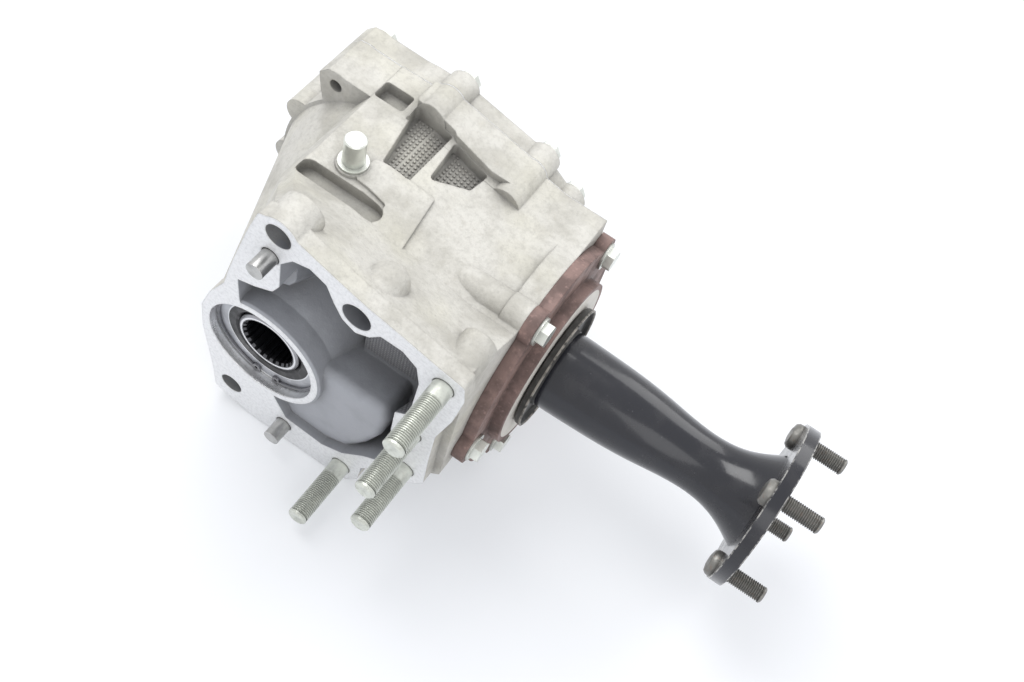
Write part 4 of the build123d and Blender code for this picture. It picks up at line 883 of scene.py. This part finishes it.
class TRANSFERCASE_OT_steel(bpy.types.Operator):
    """Finish the shafts, gears, bearings, bolts, seals and washers"""

    bl_idname = "transfercase.steel"
    bl_label = "Steel and rubber parts"

    def execute(self, context):
        colours = context.scene.transfercase_finish
        zinc = steel_finish("zinc plate", colours.zinc, 0.34, dirt=0.4)
        wear("cover_bolts", "retainer_bolts", "breather_plug", "fill_plug", "drain_plug", "dust_deflector",
             material=zinc)
        wear("ring_gear_bolts", "pinion_nut", "pinion_washer", "case_dowels",
             material=steel_finish("dark plate", DARK_PLATE, 0.3, dirt=0.5))
        wear("case_studs", "flange_studs",
             material=steel_finish("stud plate", DULL_PLATE, 0.36, rust=0.2))
        bearings = [side + "_bearing_" for side in ("left", "right", "rear", "front")]
        ground = [bearing + part for bearing in bearings for part in ("cup", "cone", "rollers")]
        wear(*ground, material=steel_finish("ground steel", GROUND_STEEL, 0.16, dirt=0.15))
        cages = [bearing + "cage" for bearing in bearings]
        wear(*cages, material=steel_finish("pressed steel", PRESSED_STEEL, 0.34))
        wear("ring_gear", "drive_pinion", material=steel_finish("gear steel", GEAR_STEEL, 0.26))
        wear("ring_gear_mounting_case", material=bored_finish("turned steel", TURNED_STEEL))
        wear("snap_ring", "pinion_shim", "left_bearing_shim", "right_bearing_shim", "collapsible_spacer",
             material=steel_finish("spring steel", SPRING_STEEL, 0.3))
        wear("fill_plug_gasket", "drain_plug_gasket",
             material=steel_finish("soft metal", SOFT_METAL, 0.35))
        wear("output_side_oil_seal", "pinion_oil_seal", "retainer_o_ring",
             material=rubber_finish("rubber", RUBBER))
        wear("input_oil_seal", material=cased_seal_finish("cased seal", SEAL_LIP, SEAL_CASE))
        return {"FINISHED"}


class TRANSFERCASE_OT_case_studs(bpy.types.Operator):
    """Make the four threaded studs that hold the case to the gearbox"""

    bl_idname = "transfercase.case_studs"
    bl_label = "Case studs"

    def execute(self, context):
        threads = context.scene.transfercase_threads
        tip = CASE_STUD_OUT
        band = tip - 0.0022
        root = CASE_STUD_R - CORE_DEPTH * threads.case_pitch
        end_r = CASE_STUD_R - END_UNDER
        core = turned_piece([
            (-CASE_STUD_IN, 0), (-CASE_STUD_IN, CASE_STUD_FOOT_R), (0, CASE_STUD_FOOT_R), (0, CASE_STUD_R),
            (threads.plain, CASE_STUD_R), (threads.plain + 0.0006, root), (band, root),
            (band, end_r), (tip - 0.0009, end_r), (tip, CASE_STUD_R - 0.0012),
            (tip, 0.0018), (tip - 0.0008, 0)])
        thread = thread_piece(threads.plain - threads.case_pitch, band + threads.case_pitch,
                              CASE_STUD_R - THREAD_UNDER, threads.case_pitch)
        stud = join("case stud", [core, thread])
        studs = set_out("case_studs_threaded", stud, [(x, 0, z) for x, z in CASE_STUDS], (0, -1, 0))
        finish_piece(studs, thread_finish("threaded plate", STUD_PLATE, rust=0.10), "housing",
                     "plated_studs", "case_studs")
        return {"FINISHED"}


class TRANSFERCASE_OT_flange_studs(bpy.types.Operator):
    """Make the four threaded studs of the output flange, with their domed heads"""

    bl_idname = "transfercase.flange_studs"
    bl_label = "Flange studs"

    def execute(self, context):
        threads = context.scene.transfercase_threads
        back = FLANGE_FACE_X - FLANGE_THICK
        tip = FLANGE_THICK + FLANGE_STUD_OUT
        band = tip - 0.0016
        root = FLANGE_STUD_R - CORE_DEPTH * threads.flange_pitch
        end_r = FLANGE_STUD_R - END_UNDER
        core = turned_piece([
            (-0.0048, 0), (-0.0050, 0.0035), (-0.0042, 0.0066), (-0.0026, 0.0078),
            (-0.0008, FLANGE_STUD_HEAD_R), (0, FLANGE_STUD_HEAD_R), (0, FLANGE_STUD_SEAT_R),
            (FLANGE_THICK, FLANGE_STUD_SEAT_R), (FLANGE_THICK, root), (band, root), (band, end_r),
            (tip - 0.0008, end_r), (tip, FLANGE_STUD_R - 0.0010), (tip, 0)])
        thread = thread_piece(FLANGE_THICK - threads.flange_pitch, band + threads.flange_pitch,
                              FLANGE_STUD_R - THREAD_UNDER, threads.flange_pitch)
        stud = join("flange stud", [core, thread])
        places = []
        for k in range(4):
            turn = FLANGE_STUD_TURN + k * TURN / 4
            places.append((back, APEX_Y + FLANGE_STUD_CIRCLE_R * math.cos(turn),
                           FLANGE_STUD_CIRCLE_R * math.sin(turn)))
        studs = set_out("flange_studs_threaded", stud, places, (1, 0, 0))
        finish_piece(studs, thread_finish("dark studs", DARK_STUD, rust=0.35), "output_shaft",
                     "plated_studs", "flange_studs")
        return {"FINISHED"}


class TRANSFERCASE_OT_stage(bpy.types.Operator):
    """Add the floor, the lights and the camera"""

    bl_idname = "transfercase.stage"
    bl_label = "Stage"

    def execute(self, context):
        self.add_floor()
        self.add_light(context)
        self.add_camera(context)
        context.scene.view_settings.view_transform = "Standard"
        return {"FINISHED"}

    def add_floor(self):
        """Pale floor that keeps the shadow and turns white further out."""
        deselect()
        bpy.ops.mesh.primitive_plane_add(size=FLOOR_SIZE, location=(*FLOOR_PLACE, CAD_LOW.z - FLOOR_GAP))
        floor = bpy.context.object
        floor.name = "floor"
        graph = Graph(bpy.data.materials.new("pale floor"))
        x, y, z = graph.axes()
        far = (distance(x, y) - GLOW_NEAR).ramp(0.0, GLOW_FADE)
        share = graph.seen() * (far * (1 - GLOW_SHARE) + GLOW_SHARE)
        lit = graph.principled(rgb(FLOOR_COLOUR), 0.85, specular=0.1)
        glow = graph.make("ShaderNodeEmission", {}, graph.mix(far, rgb(FLOOR_GLOW), rgb(WHITE)))
        graph.make("ShaderNodeOutputMaterial", {}, graph.blend(share, lit, glow))
        floor.data.materials.append(graph.owner)

    def add_light(self, context):
        """A soft sky that the camera sees as white, and three lamps."""
        context.scene.world = bpy.data.worlds.new("studio")
        graph = Graph(context.scene.world)
        soft = graph.make("ShaderNodeBackground", {}, rgb(SKY_COLOUR), SKY_STRENGTH)
        plain = graph.make("ShaderNodeBackground", {}, rgb(WHITE), 1.0)
        graph.make("ShaderNodeOutputWorld", {}, graph.blend(graph.seen(), soft, plain))
        for name, spot, side, power in LAMPS:
            lamp = bpy.data.lights.new(name, "AREA")
            lamp.energy = power
            lamp.size = side
            lamp_object = bpy.data.objects.new(name, lamp)
            context.scene.collection.objects.link(lamp_object)
            lamp_object.location = spot
            lamp_object.rotation_mode = "QUATERNION"
            aim = Vector(LAMP_AIM) - Vector(spot)
            lamp_object.rotation_quaternion = aim.to_track_quat("-Z", "Y")

    def add_camera(self, context):
        """The photograph's camera."""
        camera = bpy.data.objects.new("camera", bpy.data.cameras.new("camera"))
        context.scene.collection.objects.link(camera)
        context.scene.camera = camera
        camera.data.sensor_width = SENSOR_WIDTH
        camera.data.lens = FOCAL_PX / PHOTO_WIDTH_PX * SENSOR_WIDTH
        camera.data.clip_start = 0.01
        camera.data.clip_end = 30.0
        axes = (Vector(CAMERA_RIGHT), -Vector(CAMERA_DOWN), -Vector(CAMERA_AHEAD))
        turn = Matrix(axes).transposed()
        camera.matrix_world = Matrix.Translation(CAMERA_PLACE) @ turn.to_4x4()


class TRANSFERCASE_PT_panel(bpy.types.Panel):
    """Lists the pieces and their settings"""

    bl_idname = "TRANSFERCASE_PT_panel"
    bl_label = "Transfer case"
    bl_space_type = "VIEW_3D"
    bl_region_type = "UI"
    bl_category = "Transfer case"

    def draw(self, context):
        scene = context.scene
        for group in (scene.transfercase_finish, scene.transfercase_relief, scene.transfercase_threads):
            box = self.layout.box()
            for name in group.bl_rna.properties.keys():
                if name not in {"rna_type", "name"}:
                    box.prop(group, name)
        for operator in OPERATORS:
            self.layout.operator(operator.bl_idname)


OPERATORS = (TRANSFERCASE_OT_castings, TRANSFERCASE_OT_waffle, TRANSFERCASE_OT_retainer,
             TRANSFERCASE_OT_output, TRANSFERCASE_OT_steel, TRANSFERCASE_OT_case_studs,
             TRANSFERCASE_OT_flange_studs, TRANSFERCASE_OT_stage)
CLASSES = (CaseFinish, ReliefSizes, ThreadSizes) + OPERATORS + (TRANSFERCASE_PT_panel,)


def register():
    for item in CLASSES:
        bpy.utils.register_class(item)
    bpy.types.Scene.transfercase_finish = bpy.props.PointerProperty(type=CaseFinish)
    bpy.types.Scene.transfercase_relief = bpy.props.PointerProperty(type=ReliefSizes)
    bpy.types.Scene.transfercase_threads = bpy.props.PointerProperty(type=ThreadSizes)


def unregister():
    del bpy.types.Scene.transfercase_threads
    del bpy.types.Scene.transfercase_relief
    del bpy.types.Scene.transfercase_finish
    for item in reversed(CLASSES):
        bpy.utils.unregister_class(item)


def main():
    register()
    bpy.ops.transfercase.castings()
    bpy.ops.transfercase.waffle()
    bpy.ops.transfercase.retainer()
    bpy.ops.transfercase.output()
    bpy.ops.transfercase.steel()
    bpy.ops.transfercase.case_studs()
    bpy.ops.transfercase.flange_studs()
    bpy.ops.transfercase.stage()


if __name__ == "__main__":
    main()
